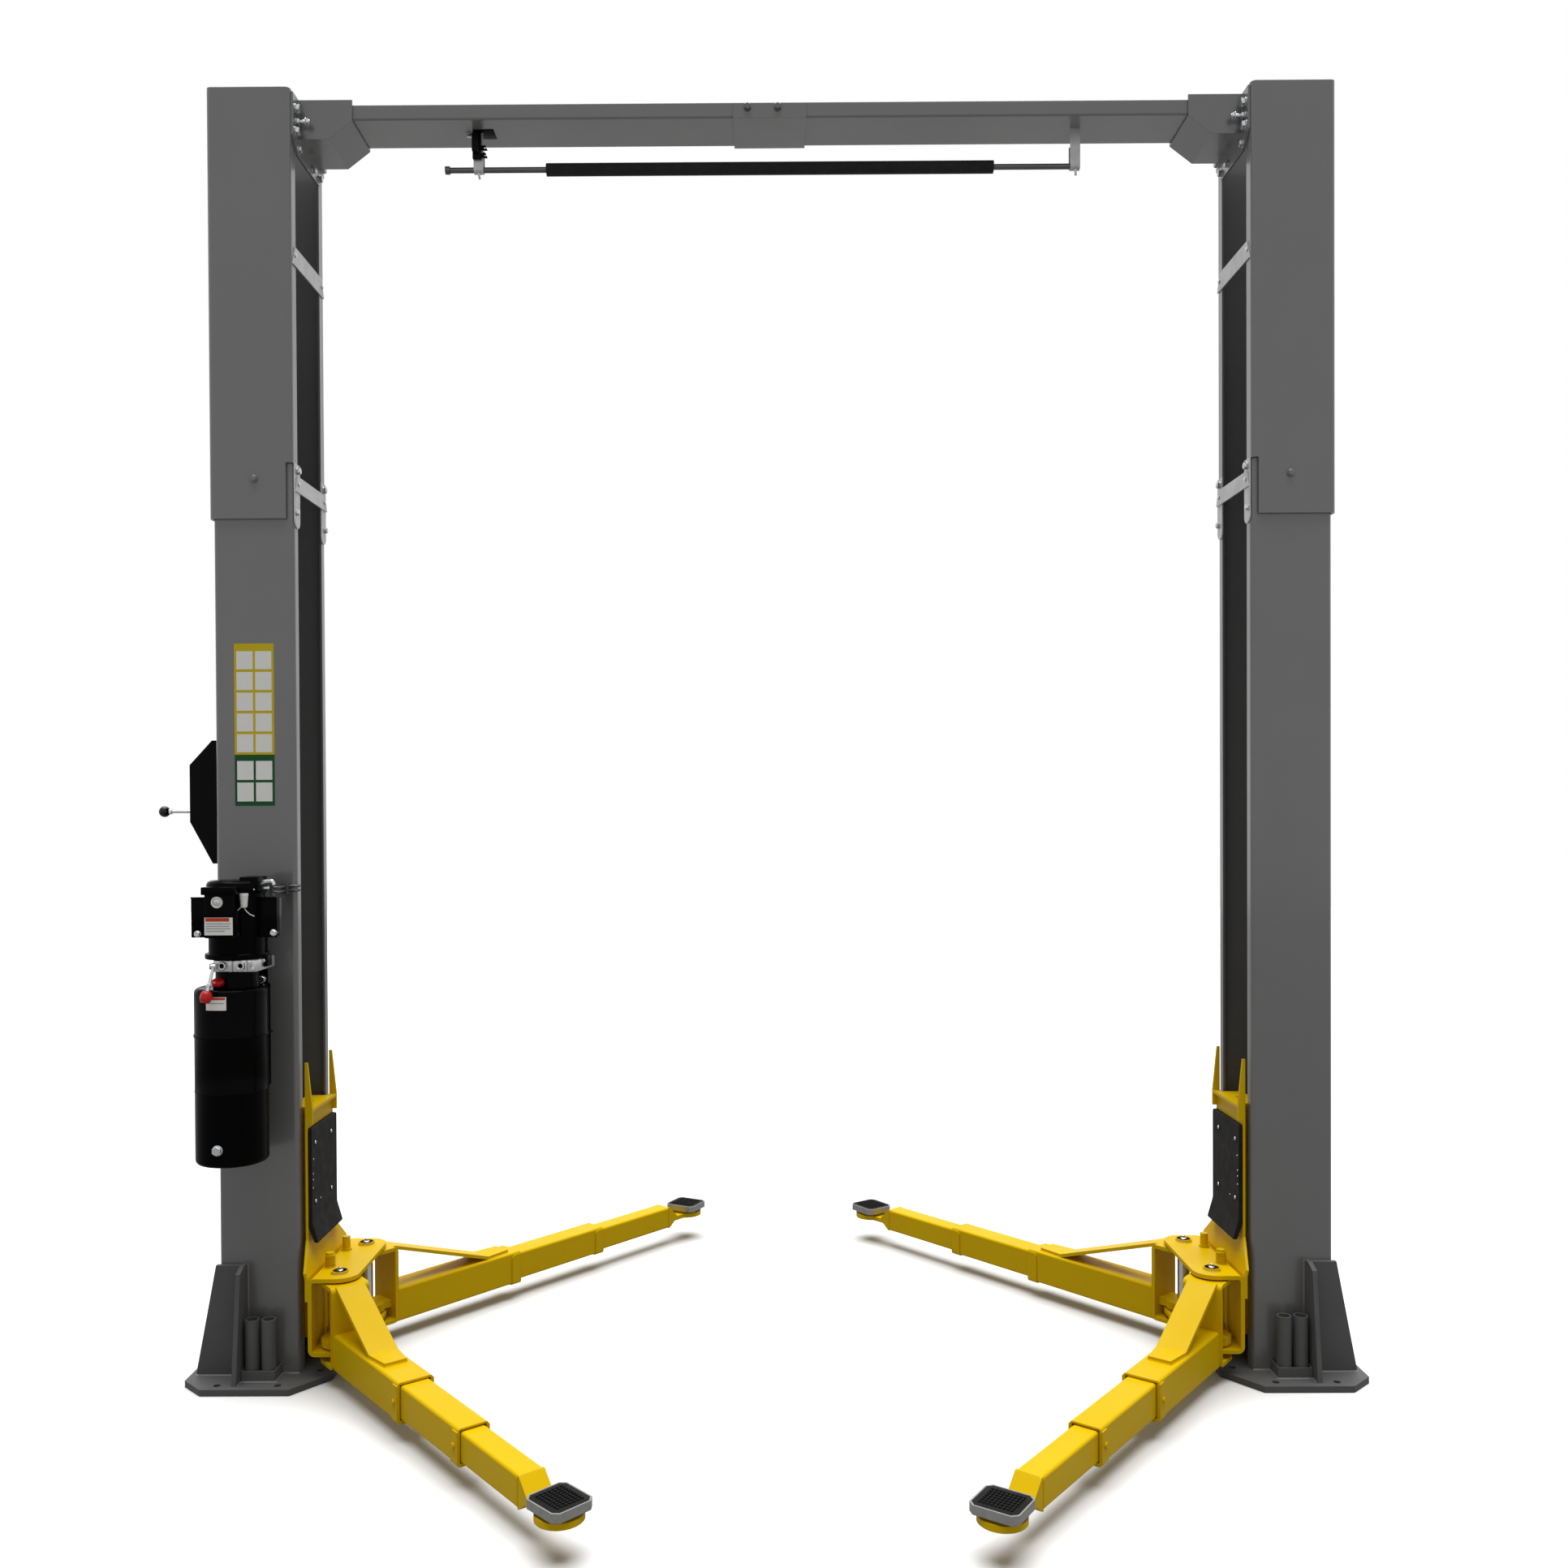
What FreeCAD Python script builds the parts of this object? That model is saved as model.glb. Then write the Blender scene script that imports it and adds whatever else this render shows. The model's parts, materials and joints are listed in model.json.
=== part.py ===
import FreeCAD, Part

import math
import os

from FreeCAD import Vector

# Two post lift with an overhead channel. X runs across the bay, Y to the back, Z up.
# The origin is on the floor, midway between the two columns. Sizes are in millimetres.
# "u" is a distance from the middle of the bay, the same on both sides.

# overall
overall_height = 3860.0
bay_half_width = 1428.0        # middle of the bay to the columns' open face

# columns
column_width = 241.0
column_depth = 298.0
column_wall = 7.0
column_lip = 38.0
column_bend = 13.0
column_top = 2745.0

# extensions that sleeve over the columns
extension_fit = 2.0
extension_wall = 7.0
extension_lap = 165.0          # how far they reach down the columns

# straps across the open side
strap_wall = 4.0
strap_inset = 3.0
splice_width = 45.0
splice_drop = 24.0             # below the extension's foot
splice_rise = 3.0              # above the column's top
lower_strap_drop = 82.0        # from the column's top
lower_strap_height = 48.0
lower_strap_slant = 14.0
upper_strap_drop = 518.0       # from the extension's top
upper_strap_height = 56.0
upper_strap_slant = 22.0

# base plates: reaches are from the columns' open face and back
base_thickness = 19.0
base_inner_reach = 98.0
base_front_inner_reach = 6.0
base_outer_reach = 85.0
base_front_outer_reach = 15.0
base_half_depth = 271.0
base_inner_corner = 154.0
base_outer_corner = 204.0

# anchor holes, set in from the foot's own edges
anchor_radius = 10.5
anchor_front_inset = 31.0
anchor_inner_inset = 43.0
anchor_outer_inset = 40.0
bay_anchor_inset = 45.0
bay_anchor_half = 130.0
back_anchor_inset = 30.0
back_anchor_half = 120.0

# gussets at the foot: a fin square to the column, and a wing beside it
gusset_wall = 14.0
gusset_height = 332.0
fin_inset = 77.0
fin_flat = 25.0
fin_slant = 16.0
fin_top_reach = 60.0
fin_foot_reach = 101.0
wing_drop = 3.0
wing_top_reach = 6.0
wing_foot_reach = 68.0

# height adapters and their rack
adapter_radius = 21.0
adapter_wall = 4.0
adapter_height = 174.0
adapter_spacing = 49.5
adapter_inset = 136.0
adapter_gap = 19.0
rack_fit = 1.0
rack_wall = 4.0
rack_height = 32.0

# overhead channel
beam_drop = 24.0               # from the extension's top
beam_depth = 184.0
beam_height = 44.0
beam_wall = 4.0
beam_bend = 6.0
beam_joint = 1.0
sleeve_length = 220.0
sleeve_wall = 4.0
sleeve_drop = 2.0
saddle_reach = 169.0
saddle_rise = 14.0
saddle_drop = 118.0
saddle_chamfer = 70.0
saddle_wall = 6.0
end_plate_wall = 7.0
end_plate_gap = 8.0            # from the extension's top
end_plate_height = 172.0
end_plate_half_width = 146.0
end_plate_chamfer = 46.0

# shut-off bar
bar_drop = 111.0               # below the channel
bar_radius = 8.5
bar_left = -993.0
bar_right = 951.0
bar_cap_radius = 12.0
bar_cap_length = 14.0
foam_radius = 19.0
foam_half_length = 688.0
hanger_left = -896.0
hanger_right = 938.0
hanger_width = 30.0
hanger_wall = 4.0
hanger_play = 0.4
hanger_rise = 62.0

# carriages: arm channel
slide_gap = 0.4
carriage_bottom = 86.0
channel_height = 232.0
channel_wall = 12.0
channel_web_reach = 39.0
channel_bend = 20.0
pin_reach = 118.0              # from the columns' open face
pin_half_spacing = 140.0
pin_margin = 60.0              # channel's metal round each pin

# carriages: front sheet, cap and ears
face_wall = 8.0
face_back_reach = 10.0
face_half_width = 122.0
face_bend_height = 410.0
face_lap = 68.0
face_fold = 2.0
face_shoulder = 16.0
cap_height = 798.0
cap_wall = 9.0
cap_reach = 14.0
cap_half_width = 92.0
cap_depth = 52.0
cap_hole_radius = 12.0
cap_hole_depth = 16.0
ear_wall = 9.0
ear_drop = 38.0
ear_top = 946.0

# carriages: frame inside the column, with its guide shoes
frame_wall = 8.0
frame_half_width = 80.0
frame_inset = 64.0
frame_rise = 14.0
block_height = 180.0
block_low = 120.0
block_high = 600.0
block_bevel = 8.0
block_pad = 42.0
block_rib = 10.0

# bumpers
bumper_wall = 12.0
bumper_bottom = 402.0
bumper_drop = 50.0             # below the carriage's cap
bumper_kick = 18.0
bumper_kick_height = 62.0
bumper_corner = 12.0
bumper_edge = 5.0
bumper_toe_lip = 2.0
bumper_kick_bend = 30.0
bumper_toe_edge = 3.0
bumper_back_bend = 20.0
bumper_trim = 3.0

# hinge pins and arm restraints
pin_radius = 19.0
pin_play = 0.3
pin_head_radius = 25.0
pin_head = 4.0
pin_foot = 50.0
restraint_inset = 32.0
restraint_half_spacing = 82.0
restraint_rod = 9.5
restraint_grip = 12.0
restraint_rim = 4.0
restraint_rim_height = 5.0
restraint_rise = 43.0
restraint_foot = 12.0
restraint_block = 13.0
restraint_block_height = 36.0
bushing_radius = 11.0
bushing_height = 32.0

# arms: hinge bracket and first tube
bracket_wall = 12.0
bracket_bottom = 58.0
bracket_top = 301.0
bracket_half_width = 58.0
bracket_reach = 80.0
bracket_bend = 16.0
washer_radius = 30.0
washer_play = 0.6
gear_radius = 56.0
gear_teeth = 36
gear_tooth = 5.0
gear_rise = 18.0
gear_height = 24.0
gear_tie_half = 34.0
gear_tie_root = 20.0
tube1_width = 102.0
tube1_bottom = 55.0
tube1_height = 109.0
tube1_wall = 6.0
tube_bend = 8.0
brace_width = 86.0
brace_end_width = 66.0
brace_wall = 10.0
collar_length = 38.0
collar_wall = 3.5
collar_corner = 14.0
stop_radius = 8.0
stop_height = 6.0

# arms: second and third tubes
tube_play = 0.4
tube2_width = 85.0
tube2_height = 94.0
tube2_wall = 5.0
tube3_width = 70.0
tube3_height = 80.0
tube3_wall = 5.0
nose_length = 43.0
nose_rise = 15.0
nose_bend = 6.0
foot_bottom = 88.0
foot_height = 16.0
boss_radius = 59.0
pivot_boss_radius = 44.0
pivot_boss_height = 8.0
pivot_radius = 15.0

# pads
pad_place = 128.0
tray_width = 123.0
tray_depth = 115.0
tray_wall = 4.0
tray_height = 22.0
tray_bevel = 14.0
rubber_play = 0.3
rubber_rise = 4.0

# one row for each arm: side, end, swing from the X axis, first tube's end from the pin,
# brace's foot, second tube's length, third tube's length, how far each is drawn out, tray's turn
arms = {
    "left_front": dict(side=-1, end=-1, angle=-51.3, tube1=526.0, brace=310.0, pad_end=400.0,
                       tube2=440.0, tube3=400.0, out2=341.0, out3=297.0, turn=-45.2),
    "left_rear": dict(side=-1, end=1, angle=49.3, tube1=586.0, brace=450.0, pad_end=545.0,
                      tube2=495.0, tube3=458.0, out2=399.0, out3=362.0, turn=-27.2),
    "right_front": dict(side=1, end=-1, angle=-128.1, tube1=526.0, brace=310.0, pad_end=400.0,
                        tube2=440.0, tube3=400.0, out2=346.0, out3=304.0, turn=-33.6),
    "right_rear": dict(side=1, end=1, angle=130.5, tube1=586.0, brace=450.0, pad_end=545.0,
                       tube2=495.0, tube3=458.0, out2=362.0, out3=338.0, turn=-54.3),
}

# lifting cylinders inside the columns
cylinder_inset = 134.0
cylinder_radius = 38.0
cylinder_wall = 7.0
cylinder_top = 1010.0
cylinder_floor = 20.0
cylinder_head = 40.0
cylinder_rim = 14.0
cylinder_rim_height = 16.0
ram_radius = 25.0
roller_radius = 50.0
roller_width = 34.0
roller_height = 1125.0
yoke_wall = 10.0
yoke_bridge = 12.0
yoke_gap = 14.0
yoke_half_length = 32.0
yoke_cheek_half = 22.0
yoke_rise = 24.0

# power unit on the left column's front face: oil tank
tank_inset = 93.0              # from the column's back
tank_stand = 131.0             # from the column's front face to the tank's axis
tank_radius = 101.5
tank_bottom = 692.0
tank_height = 508.0
tank_wall = 3.0
tank_bend = 14.0
seam_drop = 142.0
seam_height = 8.0
seam_rise = 2.0
drain_side = 4.0
drain_height = 54.0
drain_radius = 10.0
drain_length = 19.0
pipe_radius = 5.0
pipe_height = 295.0
pipe_side = 8.0
pipe_back = 42.0

# power unit: neck, valve block and the bracket behind it
motor_offset = 18.0            # motor's axis from the tank's
neck_radius = 60.0
neck_height = 49.0
block_width = 125.0
block_offset = 20.5            # middle of the block from the motor's axis
block_depth = 150.0
block_height_low = 34.0
port_radius = 12.0
port_length = 8.0
port_height = 18.0
port_insets = (28.0, 81.0)     # from the block's outer end
flange_radius = 88.0
flange_height = 16.0
lug_reach = 94.0
lug_depth = 40.0
lug_drop = 25.0
lug_height = 34.0
mount_wall = 8.0
mount_half_width = 60.0
mount_drop = 60.0
mount_height = 160.0
stay_rise = 8.0

# power unit: motor and switch box
motor_radius = 78.0
motor_height = 176.0
motor_cap_radius = 83.0
motor_cap_height = 33.0
motor_cap_edge = 9.0
cover_block_inner = 79.0
cover_block_width = 54.0
cover_block_front = 50.0
cover_block_depth = 80.0
cover_block_rise = 11.0
motor_ear_reach = 124.0
motor_ear_root = 60.0
motor_ear_wall = 9.0
motor_ear_front = 20.0
motor_ear_low = 44.0
motor_ear_height = 117.0
switch_outer = 53.0
switch_width = 83.0
switch_front = 106.0
switch_depth = 61.0
switch_drop = 127.0
switch_rise = 3.0
lid_rim = 7.0
lid_drop = 7.0
lid_height = 22.0
button_radius = 16.0
button_height = 6.0
button_side = 16.0
button_drop = 25.0

# power unit: lowering lever and hydraulic lines
lever_inset = 9.0              # from the block's outer end
lever_stand = 17.0             # in front of the block
lever_drop = 16.0
lever_radius = 5.0
lever_hub_radius = 7.0
lever_hub_half = 6.5
knob_radius = 17.5
knob_side = 10.0
knob_lean = 30.0
knob_drop = 83.0
pivot_pin_radius = 3.5
pivot_cheek = 2.5
pivot_play = 0.5
line_radius = 4.0
line_rise = 2.0                # above the motor's can
line_spacing = 13.0
line_reach = 17.0
line_bend = 9.0
line_back = 40.0
line_gap = 1.5
line_end = 12.0
fitting_length = 9.0
fitting_half = 12.0
fitting_half_height = 16.0
clamp_depth = 30.0
clamp_half = 8.0
clamp_half_height = 15.0

# lock cover and release lever on the left column's outer face
cover_half_depth = 55.0
cover_wall = 3.0
cover_reach = 116.0
cover_root_reach = 47.0
cover_top = 1925.0
cover_bottom = 1548.0
cover_slope_top = 1850.0
cover_slope_bottom = 1676.0
release_height = 1708.0
release_reach = 73.0
release_rod = 5.0
release_hub = 11.0
release_hub_length = 30.0
release_pin = 5.0
release_slot_half = 9.0
release_slot_drop = 40.0
release_slot_rise = 14.0
ball_reach = 217.0
ball_radius = 17.0

# worked out from the sizes above
up = Vector(0, 0, 1)
past = 1.0                     # how far a cut or a fused root runs past a face
column_outer = bay_half_width + column_width
column_half = column_depth / 2
column_mouth = column_half - column_lip
extension_half = column_half + extension_fit + extension_wall
extension_outer = column_outer + extension_fit + extension_wall
extension_bottom = column_top - extension_lap
base_inner = bay_half_width - base_inner_reach
base_front_inner = bay_half_width - base_front_inner_reach
base_outer = column_outer + base_outer_reach
base_front_outer = column_outer + base_front_outer_reach
fin_place = column_outer - fin_inset
adapter_place = column_outer - adapter_inset
beam_top = overall_height - beam_drop
beam_bottom = beam_top - beam_height
bar_height = beam_bottom - bar_drop
pin_place = bay_half_width - pin_reach
channel_web = bay_half_width - channel_web_reach
channel_lip = pin_place - pin_margin
channel_half_length = pin_half_spacing + pin_margin
channel_top = carriage_bottom + channel_height
face_back = bay_half_width - face_back_reach
bumper_top = cap_height - bumper_drop
face_front = face_back - face_wall
frame_back = column_outer - frame_inset
restraint_place = channel_web - restraint_inset
restraint_top = channel_top + restraint_rise
tube2_bottom = tube1_bottom + tube1_wall + tube_play
tube2_top = tube2_bottom + tube2_height
tube3_bottom = tube2_bottom + tube2_wall + tube_play
tube3_top = tube3_bottom + tube3_height
foot_top = foot_bottom + foot_height
tray_bottom = foot_top + pivot_boss_height + slide_gap
cylinder_place = column_outer - cylinder_inset
tank_place = -(column_outer - tank_inset)
tank_front = -column_half - tank_stand
tank_top = tank_bottom + tank_height
motor_place = tank_place + motor_offset
block_bottom = tank_top + neck_height
block_top = block_bottom + block_height_low
block_outer = motor_place + block_offset - block_width / 2
block_front = tank_front - block_depth / 2
motor_bottom = block_top + flange_height
motor_top = motor_bottom + motor_height
lever_pivot = Vector(block_outer + lever_inset, block_front - lever_stand, block_top - lever_drop)
lever_knob = lever_pivot + Vector(-knob_side, -knob_lean, -knob_drop)
release_pivot = column_outer + release_reach
ball_place = column_outer + ball_reach


def box(x, y, z):
    """A box between three pairs of limits."""
    size = [pair[1] - pair[0] for pair in (x, y, z)]
    return Part.makeBox(size[0], size[1], size[2], Vector(x[0], y[0], z[0]))


def rod(radius, start, end):
    """A round bar between two points."""
    along = end - start
    return Part.makeCylinder(radius, along.Length, start, along)


def outline(points, radii, place):
    """A closed wire through 2-D points, each corner rounded by its own radius."""
    ends = []
    for i, point in enumerate(points):
        here = Vector(point[0], point[1], 0)
        back = (Vector(*points[i - 1], 0) - here).normalize()
        ahead = (Vector(*points[(i + 1) % len(points)], 0) - here).normalize()
        radius = radii[i]
        if radius <= 0:
            ends.append((here, None, here))
            continue
        half = back.getAngle(ahead) / 2
        reach = radius / math.tan(half)
        middle = (back + ahead).normalize()
        top = here + middle * (radius / math.sin(half) - radius)
        ends.append((here + back * reach, top, here + ahead * reach))
    edges = []
    for i, (start, top, finish) in enumerate(ends):
        if top is not None:
            edges.append(Part.Arc(place(start), place(top), place(finish)).toShape())
        following = ends[(i + 1) % len(ends)][0]
        if (following - finish).Length > 1e-6:
            edges.append(Part.LineSegment(place(finish), place(following)).toShape())
    return Part.Wire(edges)


def plan(points, low, high, radii=None):
    """A plate lying flat: an outline in X and Y, from one height to another."""
    wire = outline(points, radii or [0] * len(points), lambda p: Vector(p.x, p.y, low))
    return Part.Face(wire).extrude(Vector(0, 0, high - low))


def front_view(points, near, far, radii=None):
    """A plate seen from the front: an outline in X and Z, from one Y to another."""
    wire = outline(points, radii or [0] * len(points), lambda p: Vector(p.x, near, p.y))
    return Part.Face(wire).extrude(Vector(0, far - near, 0))


def side_view(points, near, far, radii=None):
    """A plate seen from the side: an outline in Y and Z, from one X to another."""
    wire = outline(points, radii or [0] * len(points), lambda p: Vector(near, p.x, p.y))
    return Part.Face(wire).extrude(Vector(far - near, 0, 0))


def square_tube(x, width, low, high, wall, bend):
    """A tube with rounded corners along X."""
    def ring(inset):
        y, z0, z1 = width / 2 - inset, low + inset, high - inset
        corners = [(-y, z0), (y, z0), (y, z1), (-y, z1)]
        return side_view(corners, x[0], x[1], [max(bend - inset, 1.0)] * 4)
    return ring(0).cut(ring(wall))


def both_ends(shape):
    """A piece and its mirror image at the back."""
    return [shape, shape.mirror(Vector(0, 0, 0), Vector(0, 1, 0))]


def to_side(shape, side):
    """Pieces are drawn on the right, where X is positive, and mirrored for the left."""
    return shape if side > 0 else shape.mirror(Vector(0, 0, 0), Vector(1, 0, 0))


def flat_edges(shape):
    """Edges that lie level, such as a can's two rims."""
    return [edge for edge in shape.Edges if edge.BoundBox.ZLength < 1e-3]


def fused(shapes):
    return shapes[0].multiFuse(shapes[1:]).removeSplitter()


def c_section(inner, outer, half, wall, mouth, bend, low, high):
    """A column with its open side towards the bay and both lips turned in."""
    def ring(inset):
        a, b, y = inner + inset, outer - inset, half - inset
        corners = [(a, -y), (b, -y), (b, y), (a, y)]
        return plan(corners, low, high, [bend - inset] * 4)
    opening = box((inner - past, inner + wall + past), (-mouth, mouth), (low, high))
    return ring(0).cut(ring(wall)).cut(opening)


def column():
    return c_section(bay_half_width, column_outer, column_half, column_wall, column_mouth,
                     column_bend, base_thickness, column_top)


def extension():
    """A larger C section, open down both sides where it sleeves over the column."""
    shape = c_section(bay_half_width, extension_outer, extension_half, extension_wall, column_mouth,
                      column_bend + extension_fit, extension_bottom, overall_height)
    notch_depth = column_bend + extension_wall
    notch = box((bay_half_width - past, bay_half_width + notch_depth),
                (-extension_half - past, extension_half + past),
                (extension_bottom - past, column_top + extension_fit))
    return shape.cut(notch)


def straps():
    """Splice straps down both lips, and flat ties across the open side."""
    edge = column_half - strap_inset
    face = bay_half_width - strap_wall
    corner = splice_width / 2 - 1
    low, high = extension_bottom - splice_drop, column_top + splice_rise
    strip = side_view([(-edge, low), (-edge + splice_width, low), (-edge + splice_width, high),
                       (-edge, high)], face, bay_half_width, [corner, corner, 0, 0])

    def tie(bottom, height, slant, near, far):
        return side_view([(-edge, bottom), (edge, bottom), (edge - slant, bottom + height),
                          (-edge + slant, bottom + height)], near, far)
    lower = tie(column_top - lower_strap_drop, lower_strap_height, lower_strap_slant,
                face - strap_wall, face)
    upper = tie(overall_height - upper_strap_drop, upper_strap_height, upper_strap_slant,
                face, bay_half_width)
    return Part.makeCompound([fused(both_ends(strip) + [lower]), upper])


def base_plate():
    """The foot with its anchor holes and the gussets that stand on it round the column."""
    plate = plan([(base_inner, -base_inner_corner), (base_front_inner, -base_half_depth),
                  (base_front_outer, -base_half_depth), (base_outer, -base_outer_corner),
                  (base_outer, base_outer_corner), (base_front_outer, base_half_depth),
                  (base_front_inner, base_half_depth), (base_inner, base_inner_corner)],
                 0, base_thickness)
    for u, y in anchor_places():
        plate = plate.cut(rod(anchor_radius, Vector(u, y, -past), Vector(u, y, base_thickness + past)))
    top = base_thickness + gusset_height
    fin = side_view([(-column_half, base_thickness), (-column_half, top),
                     (-column_half - fin_flat, top),
                     (-column_half - fin_top_reach, top - fin_slant),
                     (-column_half - fin_foot_reach, base_thickness)],
                    fin_place - gusset_wall / 2, fin_place + gusset_wall / 2)
    wing = front_view([(fin_place, base_thickness), (fin_place, top - wing_drop),
                       (column_outer + wing_top_reach, top - wing_drop),
                       (column_outer + wing_foot_reach, base_thickness)],
                      -column_half - gusset_wall, -column_half)
    return fused([plate] + both_ends(fin) + both_ends(wing))


def anchor_places():
    """Anchor holes in the foot: two each at the front, back, outer and inner edges."""
    front = base_half_depth - anchor_front_inset
    places = [(base_front_inner + anchor_inner_inset, front),
              (base_front_outer - anchor_outer_inset, front),
              (base_outer - back_anchor_inset, back_anchor_half),
              (base_inner + bay_anchor_inset, bay_anchor_half)]
    return [(u, y * end) for u, y in places for end in (-1, 1)]


def adapters():
    """Two height adapters standing in a rack of bent strip at the foot of the column."""
    middle = -column_half - adapter_gap - adapter_radius
    half = adapter_spacing / 2 + adapter_radius + rack_fit
    inner, outer = adapter_place - half, adapter_place + half
    front = middle - adapter_radius - rack_fit
    floor = base_thickness + rack_wall
    rim = base_thickness + rack_height
    rack = box((inner - rack_wall, outer + rack_wall), (front - rack_wall, -column_half),
               (base_thickness, rim))
    rack = rack.cut(box((inner, outer), (front, -column_half + past), (floor, rim + past)))
    pieces = [rack]
    for step in (-0.5, 0.5):
        foot = Vector(adapter_place + step * adapter_spacing, middle, floor)
        tube = rod(adapter_radius, foot, foot + up * adapter_height)
        bore = rod(adapter_radius - adapter_wall, foot, foot + up * (adapter_height + past))
        pieces.append(tube.cut(bore))
    return fused(pieces)


def lift_cylinder():
    """The hidden cylinder, its ram and the chain roller in a yoke on top."""
    foot = Vector(cylinder_place, 0, base_thickness)
    top = Vector(cylinder_place, 0, cylinder_top)
    barrel = rod(cylinder_radius, foot, top)
    rim = rod(cylinder_radius + cylinder_rim, foot, foot + up * cylinder_rim_height)
    yoke_low = roller_height - roller_radius - yoke_gap
    ram = rod(ram_radius, top - up * past, Vector(cylinder_place, 0, yoke_low + past))
    half = roller_width / 2
    cheek_out = half + yoke_wall
    roller = rod(roller_radius, Vector(cylinder_place, -half, roller_height),
                 Vector(cylinder_place, half, roller_height))
    bridge = box((cylinder_place - yoke_half_length, cylinder_place + yoke_half_length),
                 (-cheek_out, cheek_out), (yoke_low, yoke_low + yoke_bridge))
    cheek = box((cylinder_place - yoke_cheek_half, cylinder_place + yoke_cheek_half),
                (-cheek_out, -half), (yoke_low, roller_height + yoke_rise))
    bore = rod(cylinder_radius - cylinder_wall, foot + up * cylinder_floor, top - up * cylinder_head)
    return fused([barrel, rim, ram, roller, bridge] + both_ends(cheek)).cut(bore)


def arm_channel():
    """The channel that carries the arms: its ends are rounded about the hinge pins."""
    bottom, top = carriage_bottom, channel_top
    inner_bend = channel_bend - channel_wall
    web, lip = channel_web, channel_lip
    back = web - channel_wall
    profile = [(web, bottom), (web, top), (lip, top), (lip, top - channel_wall),
               (back, top - channel_wall), (back, bottom + channel_wall),
               (lip, bottom + channel_wall), (lip, bottom)]
    radii = [channel_bend, channel_bend, 0, 0, inner_bend, inner_bend, 0, 0]
    length = channel_half_length
    ends = plan([(web, -length), (web, length), (lip, length), (lip, -length)],
                bottom, top, [0, 0, pin_margin, pin_margin])
    return front_view(profile, -length, length, radii).common(ends)


def front_sheet():
    """The sheet up the front of the column, folded out at its foot to meet the channel."""
    top = channel_top
    low = top - face_lap
    length = channel_half_length
    back = channel_web + face_wall
    sheet = front_view([(face_back, cap_height), (face_front, cap_height),
                        (face_front, face_bend_height), (channel_web, top), (channel_web, low),
                        (back, low), (back, top - face_fold),
                        (face_back, face_bend_height - face_fold)], -length, length)
    shape = side_view([(-length, low), (length, low), (length, top + face_shoulder),
                       (face_half_width, face_bend_height), (face_half_width, cap_height),
                       (-face_half_width, cap_height), (-face_half_width, face_bend_height),
                       (-length, top + face_shoulder)], channel_lip, face_back)
    return sheet.common(shape)


def cap_plate():
    """The plate that closes the carriage's top, with a hole for the chain's anchor."""
    nose = face_front - cap_reach
    back = bay_half_width + cap_depth
    wide, narrow = face_half_width, cap_half_width
    plate = plan([(nose, -wide), (face_back, -wide), (face_back, -narrow), (back, -narrow),
                  (back, narrow), (face_back, narrow), (face_back, wide), (nose, wide)],
                 cap_height, cap_height + cap_wall)
    hole = Vector(bay_half_width + cap_hole_depth, 0, cap_height - past)
    return plate.cut(rod(cap_hole_radius, hole, hole + up * (cap_wall + 2 * past)))


def carriage():
    bottom, top = carriage_bottom, channel_top
    web = channel_web
    nose = face_front - cap_reach
    ear = front_view([(face_back, cap_height - ear_drop), (nose, cap_height - ear_drop),
                      (nose, cap_height + cap_wall), (face_front, ear_top), (face_back, ear_top)],
                     -face_half_width, -face_half_width + ear_wall)
    half = frame_half_width
    low = bottom + frame_rise
    root = face_front + 2 * past
    cheek = front_view([(frame_back, low), (frame_back, cap_height), (root, cap_height),
                        (root, face_bend_height), (web + 2 * past, top),
                        (web - past, top - channel_wall), (web - past, low)], -half, -half + frame_wall)
    back = box((frame_back - frame_wall, frame_back), (-half, half), (low, cap_height))
    pieces = [arm_channel(), front_sheet(), cap_plate(), back] + both_ends(ear) + both_ends(cheek)
    for height in (block_low, block_high):
        pieces += both_ends(slide_block(height))
    for y in (-restraint_half_spacing, restraint_half_spacing):
        foot = Vector(restraint_place, y, top - channel_wall - bushing_height)
        pieces.append(rod(bushing_radius, foot, foot + up * (bushing_height + past)))
    shape = fused(pieces)
    bores = [(pin_place, pin_half_spacing, pin_radius),
             (restraint_place, restraint_half_spacing, restraint_rod + pin_play)]
    for u, y, radius in bores:
        for end in (-1, 1):
            start = Vector(u, y * end, bottom - past)
            shape = shape.cut(rod(radius, start, start + up * (channel_height + 2 * past)))
    return shape


def slide_block(low):
    """A guide shoe between the carriage's frame and the column: a pad by the lip, a pad by the web."""
    inner = bay_half_width + column_wall + slide_gap
    outer = column_outer - column_wall - slide_gap
    wall = column_half - column_wall - slide_gap
    bevel = block_bevel
    near = frame_half_width - past
    high = low + block_height
    shoe = plan([(inner, -near), (outer, -near), (outer, -wall + bevel), (outer - bevel, -wall),
                 (inner + bevel, -wall), (inner, -wall + bevel)], low, high)
    gap = (inner + block_pad, outer - block_pad)
    half = (low + high) / 2
    for z in ((low - past, half - block_rib / 2), (half + block_rib / 2, high + past)):
        shoe = shoe.cut(box(gap, (-wall - past, -near - past), z))
    return shoe


def bumper():
    """A rubber door guard, kicked out towards the bay at its foot."""
    front = face_front - bumper_wall
    toe = front - bumper_kick
    knee = bumper_bottom + bumper_kick_height
    strip = front_view([(face_front, bumper_top), (front, bumper_top), (front, knee),
                        (toe, bumper_bottom), (toe + bumper_wall, bumper_bottom - bumper_toe_lip),
                        (face_front, knee - bumper_wall)], -face_half_width, face_half_width,
                       [0, bumper_edge, bumper_kick_bend, bumper_toe_edge, 0, bumper_back_bend])
    foot = bumper_bottom - bumper_trim
    trim = side_view([(-face_half_width, foot), (face_half_width, foot),
                      (face_half_width, bumper_top + past), (-face_half_width, bumper_top + past)],
                     toe - past, face_front, [bumper_corner] * 4)
    return strip.common(trim)


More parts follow.
